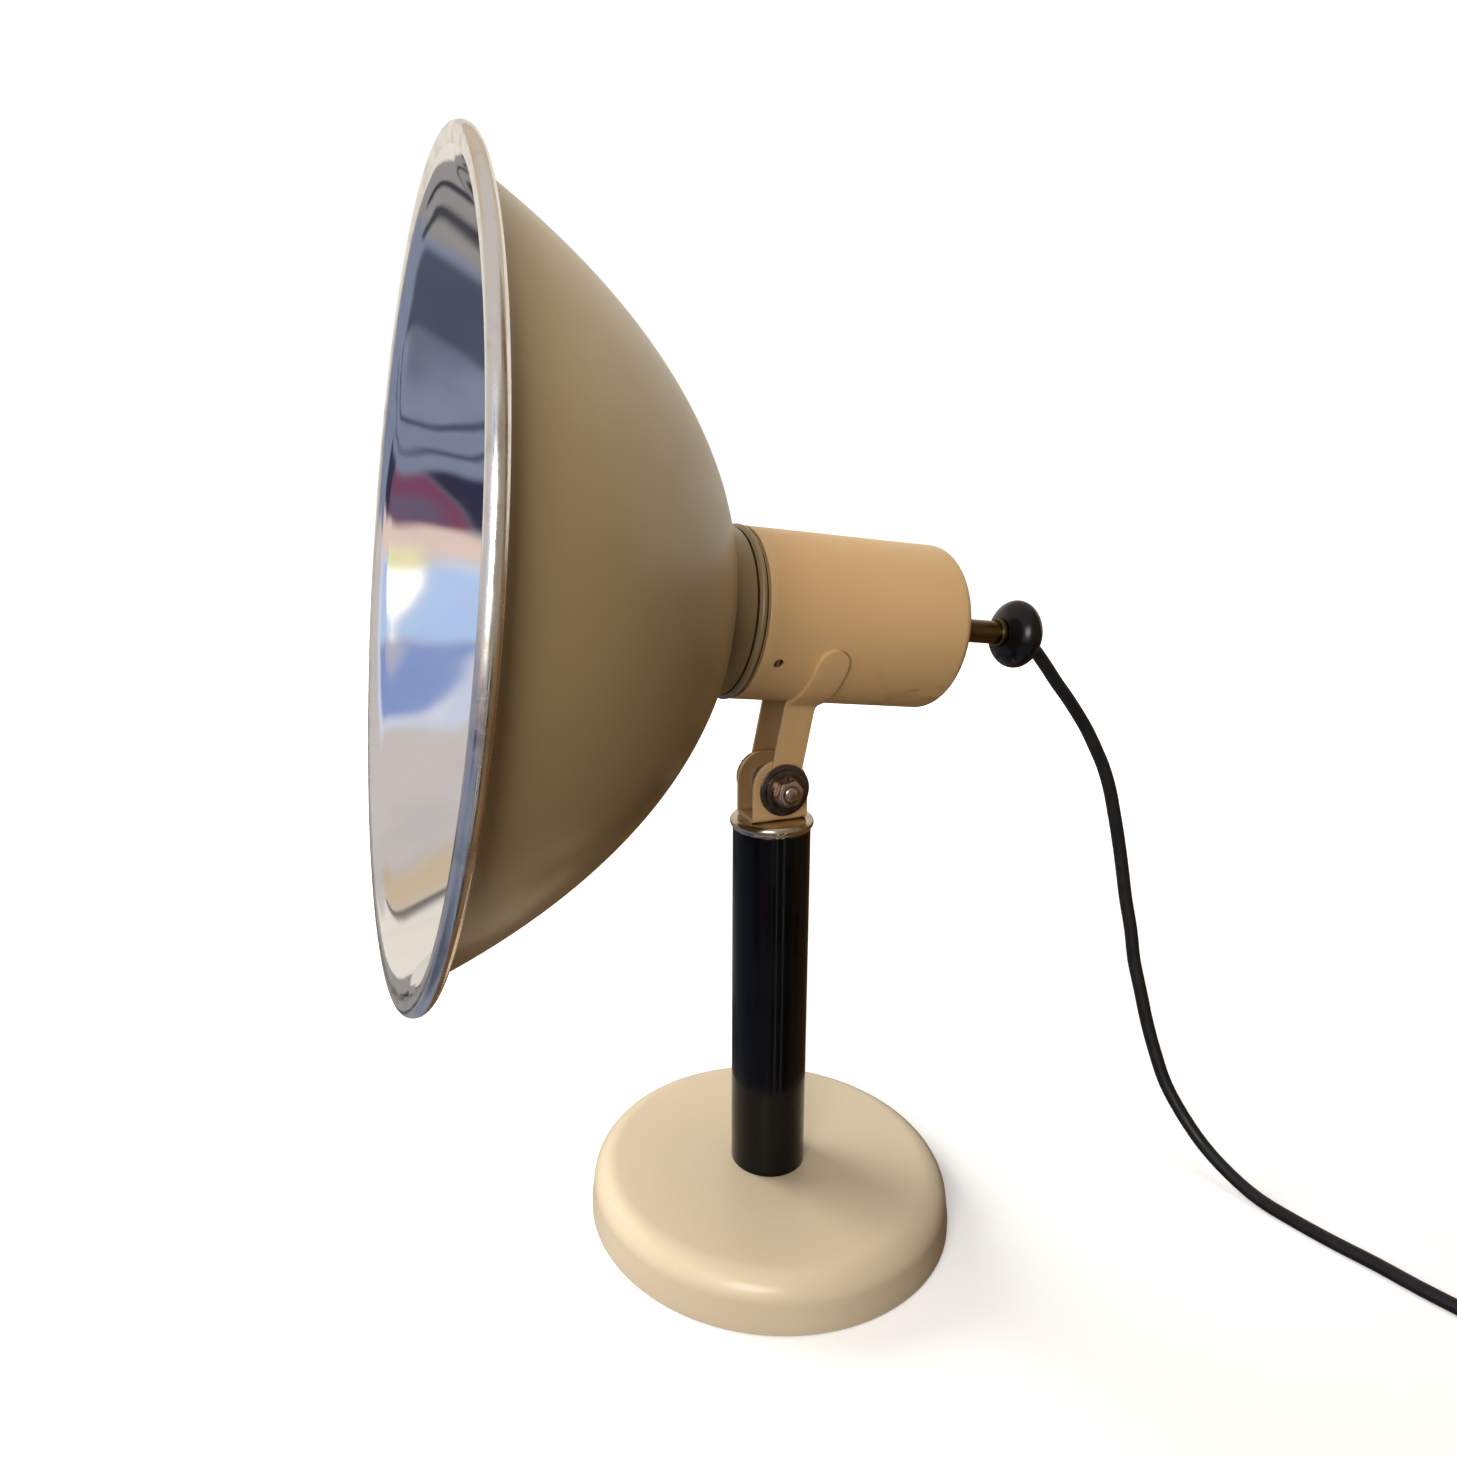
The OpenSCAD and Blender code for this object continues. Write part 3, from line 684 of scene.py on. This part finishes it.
def make_pivot():
    """Hexagonal head and shank with a rounded end, washers and a thin nut."""
    make_washer("pivot_washer_near", "pivot_washers", WASHER_R, WASHER_IN, WASHER_OUT)
    make_washer("pivot_washer_far", "pivot_washers", WASHER_R, -WASHER_OUT, -WASHER_IN)
    make_washer("pivot_small_washer", "nut_washer", NUT_WASHER_R, WASHER_OUT + 0.05, NUT_WASHER_OUT)
    make_spring_washer()
    end = SPRING_OUT + NUT_H
    outline = [(0, -WASHER_OUT), (BOLT_R, -WASHER_OUT), (BOLT_R, end + 0.2), (BOLT_R - 0.15, end + 0.45)]
    outline += [(BOLT_R - 0.7, end + 0.8), (BOLT_R - 1.5, end + 0.95), (0, end + 1)]
    shank = lathe(outline, 64, closed=False)
    head = hex_piece(PIVOT_FLATS, BOLT_HEAD_H)
    head.transform(Matrix.Translation((0, 0, -WASHER_OUT)) @ Matrix.Rotation(math.pi, 4, "X"))
    pieces = joined([shank, head])
    bolt = add_piece("pivot_bolt_and_head", pieces, PIVOT_AXIS, "stand", "worn_steel")
    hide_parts("pivot_bolt")
    hexagon = hex_piece(PIVOT_FLATS, NUT_H, BOLT_R, SPRING_OUT + 0.05, math.radians(12))
    nut = add_piece("pivot_thin_nut", hexagon, PIVOT_AXIS, "stand", "worn_steel")
    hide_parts("pivot_nut")


def make_spring_washer():
    """A split ring: a square section swept almost once round, its two ends a little out of line."""
    bm = bmesh.new()
    rings = []
    steps = 80
    start, sweep = 94, 352
    inner, near, far = BOLT_R + 0.2, NUT_WASHER_OUT + 0.15, SPRING_OUT - 0.1
    corners = [(inner, near), (SPRING_R, near), (SPRING_R, far), (inner, far)]
    for i in range(steps + 1):
        a = math.radians(start + sweep * i / steps)
        rise = 0.2 * (i / steps - 0.5)
        rings.append([bm.verts.new((r * math.cos(a), r * math.sin(a), h + rise)) for r, h in corners])
    join_rings(bm, rings)
    bevel_edges(bm, 0.2, 2)
    ring = add_piece("split_washer", bm, PIVOT_AXIS, "stand", "worn_steel")
    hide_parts("spring_washer")


make_base()
make_handle()
make_ring()
make_clevis()
make_pivot()

# ---- Head

CAN_R = 34
CAN_T = 1
# Places along the lamp's axis count forwards from the point above the pivot
CAN_REAR = -61.5
CAN_FRONT = 27
# Angles round the housing, from its lowest line: where a tab starts and where it ends
TAB_START = 21.7
TAB_END = 76.7
# The holes for the grub screws, and the patch of faces that one of them replaces
HOLE_S = 19.5
HOLE_R = 2.1
HOLE_TURN = math.radians(244)
PATCH = 3.1
CAN_STEPS = 135


def make_arm(side, name, node):
    """A strap that rises from the pivot and bends round the housing into a saddle tab. side is -1 or 1."""
    middle_r, leg_y, half = CAN_R + 0.8, ARM_IN + 1, ARM_W / 2
    foot, knee, steps = -half, 31.5, 6
    path = [Vector((leg_y, foot + (knee - foot) * i / steps)) for i in range(steps + 1)]
    tab = arc(0, AXIS_RISE, middle_r, TAB_START - 90, TAB_END - 90, 26)
    corner = Vector((leg_y, AXIS_RISE - math.sqrt(middle_r**2 - leg_y**2)))
    leg_end = path[-1]
    for i in range(1, steps + 1):
        t = i / (steps + 1)
        path.append((1 - t) ** 2 * leg_end + 2 * t * (1 - t) * corner + t**2 * tab[0])
    path = [Vector((side * p.x, p.y)) for p in path + tab]
    lean, rise = 2.6, 44

    def drift(v, total):
        return lean * min(max((v - half) / (rise - half), 0), 1)

    bar = strap(path, ARM_W, ARM_T, drift, edge=0.3)
    arm = add_piece(name, bar, HEAD, "head", "arm_enamel")
    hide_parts(node)
    # A thin dark strip where the tab's rear edge meets the housing: painted shadow.
    line = arc(0, AXIS_RISE, CAN_R + 0.06, -60, TAB_END - 90, 24)
    shadow_line = [Vector((side * p.x, p.y)) for p in line]
    grime = strap(shadow_line, ARM_W, 0.08, lambda v, total: lean + 0.75, (False, True), edge=0.02)
    add_piece(f"{name}_crease", grime, HEAD, "head", "grime")


def make_housing():
    """The deep-drawn can, with three holes for the grub screws near its mouth."""
    rows = [HOLE_S - PATCH, HOLE_S - PATCH / 2, HOLE_S, HOLE_S + PATCH / 2, HOLE_S + PATCH]
    bore, corner_r, inner_r = 8.1, 4, CAN_R - CAN_T
    outer = [(bore, CAN_REAR), (20, CAN_REAR)]
    outer += arc(CAN_R - corner_r, CAN_REAR + corner_r, corner_r, -90, 0, 14)
    outer += [(CAN_R, s) for s in (-30, -5, *rows, CAN_FRONT - 0.3)]
    outer += [(CAN_R - 0.15, CAN_FRONT - 0.05), (CAN_R - 0.4, CAN_FRONT)]
    inner = [(inner_r, s) for s in (CAN_FRONT - 0.2, *rows[::-1], -5, -30)]
    inner += arc(CAN_R - corner_r, CAN_REAR + corner_r, corner_r - CAN_T, 0, -90, 10)
    inner += [(bore, CAN_REAR + CAN_T)]
    bm = lathe(outer + inner, CAN_STEPS, turn=HOLE_TURN)
    pitch = 2 * math.pi / CAN_STEPS
    for k in range(3):
        cut_hole(bm, HOLE_TURN + 2 * math.pi * k / 3, pitch)
    can = add_piece("housing_can", bm, LAMP_AXIS, "head", "housing_enamel")
    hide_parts("lamp_housing")


def cut_hole(bm, angle, pitch):
    """Replaces a patch of four by four faces in both skins with a round hole, and joins the skins in it."""
    def offset(vert):
        return (math.atan2(vert.co.y, vert.co.x) - angle + math.pi) % (2 * math.pi) - math.pi

    circles = []
    for skin in (CAN_R, CAN_R - CAN_T):
        inside = [
            f for f in bm.faces
            if all(
                abs(math.hypot(v.co.x, v.co.y) - skin) < 0.05
                and abs(offset(v)) < 2.2 * pitch
                and abs(v.co.z - HOLE_S) < PATCH + 0.01
                for v in f.verts
            )
        ]
        border = [e for f in inside for e in f.edges if any(g not in inside for g in e.link_faces)]
        edge_loop = {v for e in border for v in e.verts}
        bmesh.ops.delete(bm, geom=inside, context="FACES")
        around = sorted(edge_loop, key=lambda v: math.atan2(v.co.z - HOLE_S, offset(v) * skin))
        circle = []
        for v in around:
            turn = math.atan2(v.co.z - HOLE_S, offset(v) * skin)
            a = angle + HOLE_R * math.cos(turn) / skin
            height = HOLE_S + HOLE_R * math.sin(turn)
            circle.append(bm.verts.new((skin * math.cos(a), skin * math.sin(a), height)))
        join_rings(bm, [around, circle], ends=False)
        circles.append(circle)
    join_rings(bm, circles, ends=False)


def make_grub_screws():
    """Slotted screws in the collar, just below the holes in the housing."""
    screws = []
    foot, top, screw_r, slot_half, slot_deep = 7, 9.2, 2, 0.35, 0.9
    outline = soften([(0, foot), (screw_r, foot), (screw_r, top, 0.25), (0, top)])
    for k in range(3):
        screw = lathe(outline, 32, closed=False)
        for x in (-slot_half, slot_half):
            geometry = screw.verts[:] + screw.edges[:] + screw.faces[:]
            bmesh.ops.bisect_plane(screw, geom=geometry, plane_co=(x, 0, 0), plane_no=(1, 0, 0))
        centres = {face: face.calc_center_median() for face in screw.faces}
        slot = [face for face, c in centres.items() if abs(c.x) < slot_half and c.z > top - 0.1]
        pushed = bmesh.ops.extrude_face_region(screw, geom=slot)["geom"]
        moved = [v for v in pushed if isinstance(v, bmesh.types.BMVert)]
        bmesh.ops.translate(screw, verts=moved, vec=(0, 0, -slot_deep))
        bmesh.ops.delete(screw, geom=slot, context="FACES_ONLY")
        outward = Matrix.Rotation(math.pi / 2, 4, "Y") @ Matrix.Translation((0, 0, CAN_R - 10))
        turn = Matrix.Rotation(HOLE_TURN + math.radians(120 * k), 4, "Z")
        screw.transform(Matrix.Translation((0, 0, HOLE_S)) @ turn @ outward)
        screws.append(screw)
    screws = add_piece("grub_screws", joined(screws), LAMP_AXIS, "head", "bronzed_steel")
    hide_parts("housing_screws")


def make_collar():
    """The khaki neck ring, with a raised bead beside the housing."""
    r, s0, s1, inside = 33.3, 27.6, 47.2, 31.2
    spigot = [(inside, 14), (32.9, 14), (32.9, s0), (r - 0.9, s0), (r - 0.9, s0 + 0.4)]
    bead = arc(r - 0.2, 29.6, 1.3, -60, 72, 10)
    groove = [(r - 0.2, 31.3), (r - 1.4, 31.5), (r - 1.4, 32), (r - 0.2, 32.2)]
    neck = [(r, 32.6), (r, 40), (r, s1 - 0.4), (r - 0.4, s1), (26, s1), (26, s1 - 1.6), (inside, s1 - 1.6)]
    outline = spigot + bead + groove + neck
    # The groove's floor and the face against the housing are drawn dark brown: painted shade.
    ring = lathe(outline, 128, band=lambda i, p: int(31.5 < p.x < r - 0.5 and s0 - 0.1 < p.y < 32.1))
    collar = add_piece("neck_ring", ring, LAMP_AXIS, "head", ["collar_enamel", "groove_shade"])
    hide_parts("reflector_collar")


# The bowl is part of an ellipse: its half length, its half width and where its middle is
BOWL_A = 288.4
BOWL_B = 173.7
BOWL_C = 324
SHEET = 1.2
RIM_R = 144.4
RIM_S = 150.5
BEAD_R = 3
BACK_S = 47.8


def bowl_point(angle, off):
    """A point of the elliptical sheet, at an angle from the ellipse's rear end, off from its outer face."""
    a = math.radians(angle)
    return Vector(((BOWL_B - off) * math.sin(a), BOWL_C - (BOWL_A - off) * math.cos(a)))


def bezier(points, steps):
    p0, p1, p2, p3 = points
    curve = []
    for i in range(1, steps + 1):
        t, u = i / steps, 1 - i / steps
        curve.append(u**3 * p0 + 3 * u * u * t * p1 + 3 * u * t * t * p2 + t**3 * p3)
    return curve


def bowl_skin(off):
    """One face of the sheet, from the hole in the back to the start of the lip."""
    back = BACK_S - SHEET / 2 + off
    first, last, steps = 18.5, 51.8, 56
    start = bowl_point(first, off)
    points = [Vector((26.6, back)), Vector((36, back)), Vector((45, back))]
    points += bezier([points[-1], Vector((49, back)), start - Vector((3.5, 1.95)), start], 10)
    points += [bowl_point(first + (last - first) * i / steps, off) for i in range(1, steps + 1)]
    return points


def make_reflector():
    """The spun bowl: enamel outside, mirror inside, and a rolled bead of bare metal round the lip."""
    outer, inner = bowl_skin(0), bowl_skin(SHEET)
    # The sheet turns out to the bead in a small trumpet
    start, end = outer[-1], Vector((RIM_R - 2.4, RIM_S - 1.9))
    outer += bezier([start, start + Vector((1.9, 3.9)), end - Vector((2.2, 1.1)), end], 6)
    start, end = inner[-1], Vector((RIM_R, RIM_S + BEAD_R))
    inner += bezier([start, start + Vector((1.8, 3.8)), end - Vector((4.6, 0)), end], 9)
    bead = arc(RIM_R, RIM_S, BEAD_R, -142, 90, 26)
    outline = outer + bead[:-1] + inner[::-1]
    enamel_end = len(outer) - 2
    mirror_start = len(outline) - len(inner) + 3

    def band(i, middle):
        """The material of strip i, as a place in the list of finishes."""
        if i < enamel_end:
            return 0
        return 1 if i >= mirror_start else 2

    finish = ["khaki_enamel", "polished_aluminium", "rim_aluminium"]
    bowl = add_piece("bowl", lathe(outline, 320, band=band), LAMP_AXIS, "head", finish)
    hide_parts("reflector")


make_arm(-1, "near_arm", "yoke_arm_right")
make_arm(1, "far_arm", "yoke_arm_left")
make_housing()
make_grub_screws()
make_collar()
make_reflector()

# ---- Focusing carriage

KNOB_S = -107.3
KNOB_R = 14.75
TUBE_R = 5
TUBE_REAR = -105
TUBE_FRONT = -24


def make_knob():
    """The oblate knob: a shallow dish at the tube and a flared mouth for the lead."""
    half = 8.2
    outline = [(4.2, TUBE_REAR), (4.4, -109), (6.2, KNOB_S - half + 1.6)]
    for i in range(41):
        a = math.radians(-64 + 128 * i / 40)
        flatter = 1 - 0.04 * math.sin(a) ** 2
        outline.append((KNOB_R * math.cos(a) * flatter, KNOB_S + (half + 0.5) * math.sin(a)))
    outline += [(5.9, -100.4), (TUBE_R, -101), (TUBE_R, TUBE_REAR)]
    knob = add_piece("focus_knob", lathe(outline, 96), LAMP_AXIS, "focus", "bakelite")
    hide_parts("knob")


def make_tube():
    """The tube with the flange that carries the holder, and a ferrule before the knob."""
    bore, flange_r, flange_s = 3.6, 8, TUBE_FRONT - 1.5
    outline = soften([
        (bore, TUBE_REAR), (TUBE_R, TUBE_REAR, 0.3), (TUBE_R, flange_s), (flange_r, flange_s),
        (flange_r, TUBE_FRONT, 0.3), (bore, TUBE_FRONT, 0.3),
    ])
    rod = add_piece("focus_rod", lathe(outline, 64), LAMP_AXIS, "focus", "dark_brass")
    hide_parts("focus_tube")
    ring_r, rear, front = 6.2, -99, -96.6
    ferrule = soften([(TUBE_R, rear, 0.2), (ring_r, rear, 0.5), (ring_r, front, 0.5), (TUBE_R, front, 0.2)])
    ring = add_piece("rod_ferrule", lathe(ferrule, 64), LAMP_AXIS, "focus", "dark_brass")
    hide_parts("knob_ferrule")


def make_envelope():
    """The envelope: a thin skin with a neck, a shoulder and a globe."""
    centre, radius, glass = 84, 40, 0.8
    outer = [Vector((13.3, 13.2)), Vector((13.3, 17.4)), Vector((14.4, 20))]
    shoulder = arc(0, centre, radius, -40, 90, 36)
    neck = [Vector((14.8, 26)), Vector((15.7, 44))]
    outer += bezier([*neck, shoulder[0] - Vector((7.7, 9.2)), shoulder[0]], 12)
    outer += shoulder[1:]
    inner = []
    for i, p in enumerate(outer):
        along = outer[min(i + 1, len(outer) - 1)] - outer[max(i - 1, 0)]
        inward = Vector((-along.y, along.x)).normalized()
        inner.append(Vector((max(p.x + glass * inward.x, 0), p.y + glass * inward.y)))
    outer[-1].x = inner[-1].x = 0
    bulb = add_piece("bulb_envelope", lathe(outer + inner[::-1], 96), LAMP_AXIS, "focus", "bulb_glass")
    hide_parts("bulb_glass")


make_knob()
make_tube()
make_envelope()

# ---- Lead, tie and plug

PLUG_TURN = 65
PIN_APART = 19
PLUG_Z = 8
PLUG_AT = Matrix.Translation((TAIL[-1][0] * MM, TAIL[-1][1] * MM, 0))
PLUG = PLUG_AT @ Matrix.Rotation(math.radians(PLUG_TURN), 4, "Z") @ SCALE


def make_cord():
    free = [Vector(p) for p in ROUTE]
    points = free + coil_points() + [Vector(p) for p in TAIL]
    dense = spline_through(points, 3)
    cord = add_piece("lead", tube(dense, CORD_D / 2 - 0.05), SCALE, None, "cord_rubber")
    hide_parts("cord", "cord_coil")
    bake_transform(cord)
    return cord, [p * MM for p in dense]


def make_plug():
    """A flat two-pin plug, with a ribbed sleeve on the lead."""
    bm = bmesh.new()
    # Along the plug, half its width and half its height
    sections = [
        (-16, 3.6, 3.6), (-15.6, 4.0, 4.0), (-12, 4.1, 4.1), (-11.4, 3.7, 3.7), (-10, 3.7, 3.7),
        (-9.4, 4.5, 4.4), (-6.6, 4.6, 4.6), (-6, 4.1, 4.1), (-4.6, 4.1, 4.1), (-4, 5.0, 5.0),
        (-1.2, 5.3, 5.2), (-0.6, 4.7, 4.7), (0.6, 4.8, 4.8), (1.4, 6.8, 5.8), (5, 8.8, 6.9),
        (9, 12.2, 7.7), (12, 14.2, 7.9), (15, 14.9, 8), (22, 15, 8), (23, 14.6, 7.7),
        (24, 14.6, 7.7), (25, 15, 8), (36.6, 15, 8), (37.6, 14.7, 7.8), (38, 14.2, 7.3),
    ]
    rings = []
    count = 48
    for x, wide, high in sections:
        ring = []
        for k in range(count):
            a = 2 * math.pi * k / count
            power = 2 / (2 + 2.4 * smooth_step((x - 1) / 12))
            c, s = math.cos(a), math.sin(a)
            y = wide * math.copysign(abs(c) ** power, c)
            z = high * math.copysign(abs(s) ** power, s)
            ring.append(bm.verts.new((x, y, PLUG_Z + z)))
        rings.append(ring)
    join_rings(bm, rings)
    plug = add_piece("plug", bm, PLUG, "stand", "bakelite")
    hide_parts("plug_body")
    pins = []
    pin_r, pin_end = 2.4, 54.8
    for name, side in (("plug_pin_left", -1), ("plug_pin_right", 1)):
        outline = [(0, 30), (pin_r, 30), (pin_r, pin_end)]
        outline += [*arc(0, pin_end, pin_r, 0, 90, 8)[:-1], (0, pin_end + pin_r)]
        place = PLUG @ Matrix.Translation((0, side * PIN_APART / 2, PLUG_Z))
        place = place @ Matrix.Rotation(math.pi / 2, 4, "Y")
        pin = add_piece(name, lathe(outline, 32, closed=False), place, "stand", "nickel")
        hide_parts("plug_pins")
        pins.append(pin)
    return [plug, *pins]


def make_tie():
    """A band round the coil's bundle of turns."""
    middle = (COIL_OUTER + COIL_INNER) / 2
    half_w, high = 12.6, 12.9
    section = soften([(-half_w, 0.1, 3), (half_w, 0.1, 3), (half_w, high, 3), (-half_w, high, 3)], 6)
    bm = bmesh.new()
    loops = []
    for along, lift in ((-4, 0), (-3.6, 0.35), (3.6, 0.35), (4, 0)):
        loop = []
        for p in section:
            out = 1 + lift / 12
            loop.append(bm.verts.new((p.x * out, along, max(p.y * out, 0.05))))
        loops.append(loop)
    join_rings(bm, loops, ends=False)
    where = math.radians(60)
    place = SCALE @ Matrix.Translation(COIL_AT + middle * Vector((math.cos(where), math.sin(where), 0)))
    tie = add_piece("coil_tie", bm, place @ Matrix.Rotation(where, 4, "Z"), "stand", "cord_rubber")
    solid = tie.modifiers.new("sheet", "SOLIDIFY")
    solid.thickness = 0.0006
    return tie


plug_pieces = make_plug()
tie = make_tie()
lead, lead_path = make_cord()
[tuple(p) for p in lead_path]

# ---- CAD nodes that stay, with their finishes

NODE_FINISH = {
    "base_weight": "cast_iron", "base_plate": "zinc_steel", "base_pad": "felt",
    "tie_rod": "zinc_steel", "base_washer": "zinc_steel", "base_nut": "zinc_steel",
    "handle_seat": "zinc_steel", "clevis_nut": "zinc_steel", "friction_discs": "fibre",
    "pivot_bush": "zinc_steel", "guide_bush": "brass", "guide_nut": "brass",
    "rim_wire": "zinc_steel", "collar_rivets": "rivet_aluminium", "tube_nut": "brass",
    "holder_plate": "zinc_steel", "holder_screws": "zinc_steel", "lampholder": "porcelain",
    "screw_shell": "brass", "centre_contact": "brass", "terminals": "brass",
    "lead_wires": "wire_insulation", "bulb_cap": "brass", "bulb_filament": "filament",
}


def dress_nodes():
    for node, finish in NODE_FINISH.items():
        mesh = frame["nodes"][node].data
        mesh.materials.clear()
        mesh.materials.append(FINISHES[finish])


dress_nodes()

# ---- Studio

def make_floor():
    """A pale table that turns into the white backdrop away from the lamp."""
    bm = bmesh.new()
    bmesh.ops.create_circle(bm, cap_ends=True, radius=9, segments=96)
    mesh = bpy.data.meshes.new("floor")
    bm.to_mesh(mesh)
    bm.free()
    white = srgb(246, 245, 243)
    f = Finish("floor_paper", white, 0.85, Emission_Color=(1, 1, 1, 1))
    distance = f.add("ShaderNodeVectorMath", operation="LENGTH")
    f.put(distance.inputs[0], f.place)
    f.put(f.shader.inputs["Emission Strength"], f.ranged(distance.outputs["Value"], 0.25, 1.2, 0.2, 1.1))
    f.tint(f.ranged(f.noise(400, 2), 0.4, 0.7, 0.0, 0.3), srgb(243, 241, 238))
    f.bump(f.noise(1.5, 2), 0.03, 0.3)
    mesh.materials.append(f.material)
    floor = bpy.data.objects.new("floor", mesh)
    bpy.context.scene.collection.objects.link(floor)
    floor.visible_glossy = False
    floor.visible_diffuse = False


def make_light(name, place, target, size, power, colour=(1, 1, 1), mirrored=True):
    data = bpy.data.lights.new(name, "AREA")
    data.shape = "DISK"
    data.size = size
    data.energy = power
    data.color = colour
    light = bpy.data.objects.new(name, data)
    light.location = place
    light.rotation_euler = (Vector(target) - Vector(place)).to_track_quat("-Z", "Y").to_euler()
    light.visible_camera = False
    light.visible_glossy = mirrored
    bpy.context.scene.collection.objects.link(light)


class Room(Nodes):
    """What polished metal mirrors: colours by direction. Azimuth 0 is -X and 90 is +Y, in degrees."""

    def __init__(self, tree):
        super().__init__(tree, "Generated")
        across = self.math("ARCTAN2", self.axis_part("Y"), self.math("MULTIPLY", self.axis_part("X"), -1))
        above = self.math("ARCSINE", self.axis_part("Z"))
        self.azimuth = self.wavy(across, 430)
        self.elevation = self.wavy(above, 370)
        self.colour = srgb(212, 204, 198)

    def wavy(self, angle, size):
        sway = self.math("MULTIPLY", self.math("SUBTRACT", self.noise(size, 2), 0.5), 14)
        return self.math("ADD", self.math("MULTIPLY", angle, 180 / math.pi), sway)

    def within(self, value, low, high, blur):
        rise = self.ranged(value, low - blur, low + blur)
        fall = self.ranged(value, high - blur, high + blur, 1.0, 0.0)
        return self.math("MULTIPLY", rise, fall)

    def paint(self, colour, azimuth, elevation, blur=3, share=1.0):
        """Colours the directions between two azimuths and two elevations."""
        across = self.within(self.azimuth, *azimuth, blur)
        above = self.within(self.elevation, *elevation, blur)
        covers = self.math("MULTIPLY", across, above)
        self.colour = self.mixed(self.math("MULTIPLY", covers, share), self.colour, colour)


def make_world():
    """White to the camera, soft light on the lamp, and a room for polished metal to mirror."""
    world = bpy.data.worlds.new("studio")
    bpy.context.scene.world = world
    world.use_nodes = True
    room = Room(world.node_tree)
    ahead = (-72, 200)
    # Dark below, and the table before the lamp's mouth
    room.paint(srgb(50, 42, 38), (-200, 200), (-95, -3), 3)
    room.paint(srgb(136, 143, 163), ahead, (-95, -2), 2)
    room.paint(srgb(112, 116, 132), (-30, 60), (-95, -45), 5)
    room.paint(srgb(84, 89, 106), (10, 50), (-95, -38), 4)
    room.paint(srgb(160, 155, 150), (55, 200), (-40, -2), 4)
    room.paint(srgb(72, 72, 78), (50, 200), (-33, -28), 1.5)
    room.paint(srgb(66, 66, 72), (60, 200), (-20, -16), 1.5)
    room.paint(srgb(84, 88, 106), (-60, 10), (-36, -34.4), 0.7)
    room.paint(srgb(84, 88, 106), (-60, 10), (-29, -27.8), 0.7)
    # A brown wall and a table that only the enamel mirrors
    room.paint(srgb(110, 78, 50), (96, 200), (-95, -2), 6)
    room.paint(srgb(128, 100, 70), (-200, -128), (-95, 60), 8)
    # Somebody's clothes, then a window with something blue before it
    room.paint(srgb(128, 76, 100), (-64, -34), (-23, -6), 1.5)
    room.paint(srgb(112, 96, 118), (-64, -39), (-18, -8), 3)
    room.paint(srgb(56, 56, 76), (-34, -14), (-23, -9), 1.5)
    room.paint(srgb(240, 214, 200), (-64, -14), (-8, 0), 2)
    room.paint(srgb(158, 148, 134), (-150, -72), (-12, 50), 5)
    room.paint((1.1, 1.1, 1.08, 1), (-76, -64), (-9, 40), 3)
    room.paint(srgb(222, 226, 240), (-39, -14), (0, 50), 3)
    room.paint((1.5, 1.5, 1.45, 1), (-64, -41), (2, 27), 1.5)
    room.paint(srgb(255, 248, 190), (-64, -41), (-2, 4), 2, 0.8)
    room.paint(srgb(190, 215, 251), (-41, -29), (3, 25), 2)
    room.paint(srgb(148, 166, 214), (-40, -27), (25, 46), 2.5)
    room.paint(srgb(164, 176, 214), (-55, -42), (28, 38), 3, 0.8)
    # Walls behind the lamp's mouth
    room.paint(srgb(214, 190, 152), (45, 200), (36, 52), 5, 0.8)
    room.paint(srgb(128, 120, 112), (55, 200), (33, 36), 1)
    room.paint(srgb(244, 236, 222), (55, 200), (-2, 33), 2)
    # Lamps' glints in what is bright and small
    for azimuth in (-84, -104):
        room.paint((1.3, 1.2, 1.1, 1), (azimuth - 2, azimuth + 2), (-60, -12), 1)
    toward = room.add("ShaderNodeVectorMath", operation="DOT_PRODUCT")
    room.put(toward.inputs[0], room.place)
    toward.inputs[1].default_value = (-0.95, 0, 0.3)
    ambient = room.mixed(
        room.ranged(toward.outputs["Value"], -0.8, 0.9), (0.085, 0.066, 0.048, 1), (0.18, 0.17, 0.16, 1)
    )
    path = room.add("ShaderNodeLightPath")
    seen = room.mixed(path.outputs["Is Glossy Ray"], ambient, room.colour)
    seen = room.mixed(path.outputs["Is Camera Ray"], seen, (1.0, 1.0, 1.0, 1))
    room.put(room.tree.nodes["Background"].inputs["Color"], seen)


make_floor()
make_world()
make_light("key", (-0.62, -0.85, 0.62), (0, 0, 0.15), 0.5, 6.3, (1.0, 0.96, 0.91))
make_light("low", (-0.85, -0.8, 0.1), (0, 0, 0.08), 0.5, 3, (1.0, 0.92, 0.84), mirrored=False)
make_light("window", (-0.9, 0.9, 0.9), (0, 0, 0.15), 1.1, 25, (1.0, 0.99, 0.97), mirrored=False)
make_light("left", (-0.9, -0.5, 1.2), (0, 0, 0.15), 0.5, 6, (1.0, 0.97, 0.94), mirrored=False)
make_light("top", (0.1, 0.1, 1.5), (0, 0, 0.2), 0.9, 6.5, mirrored=False)

bpy.context.scene.view_settings.view_transform = "Standard"
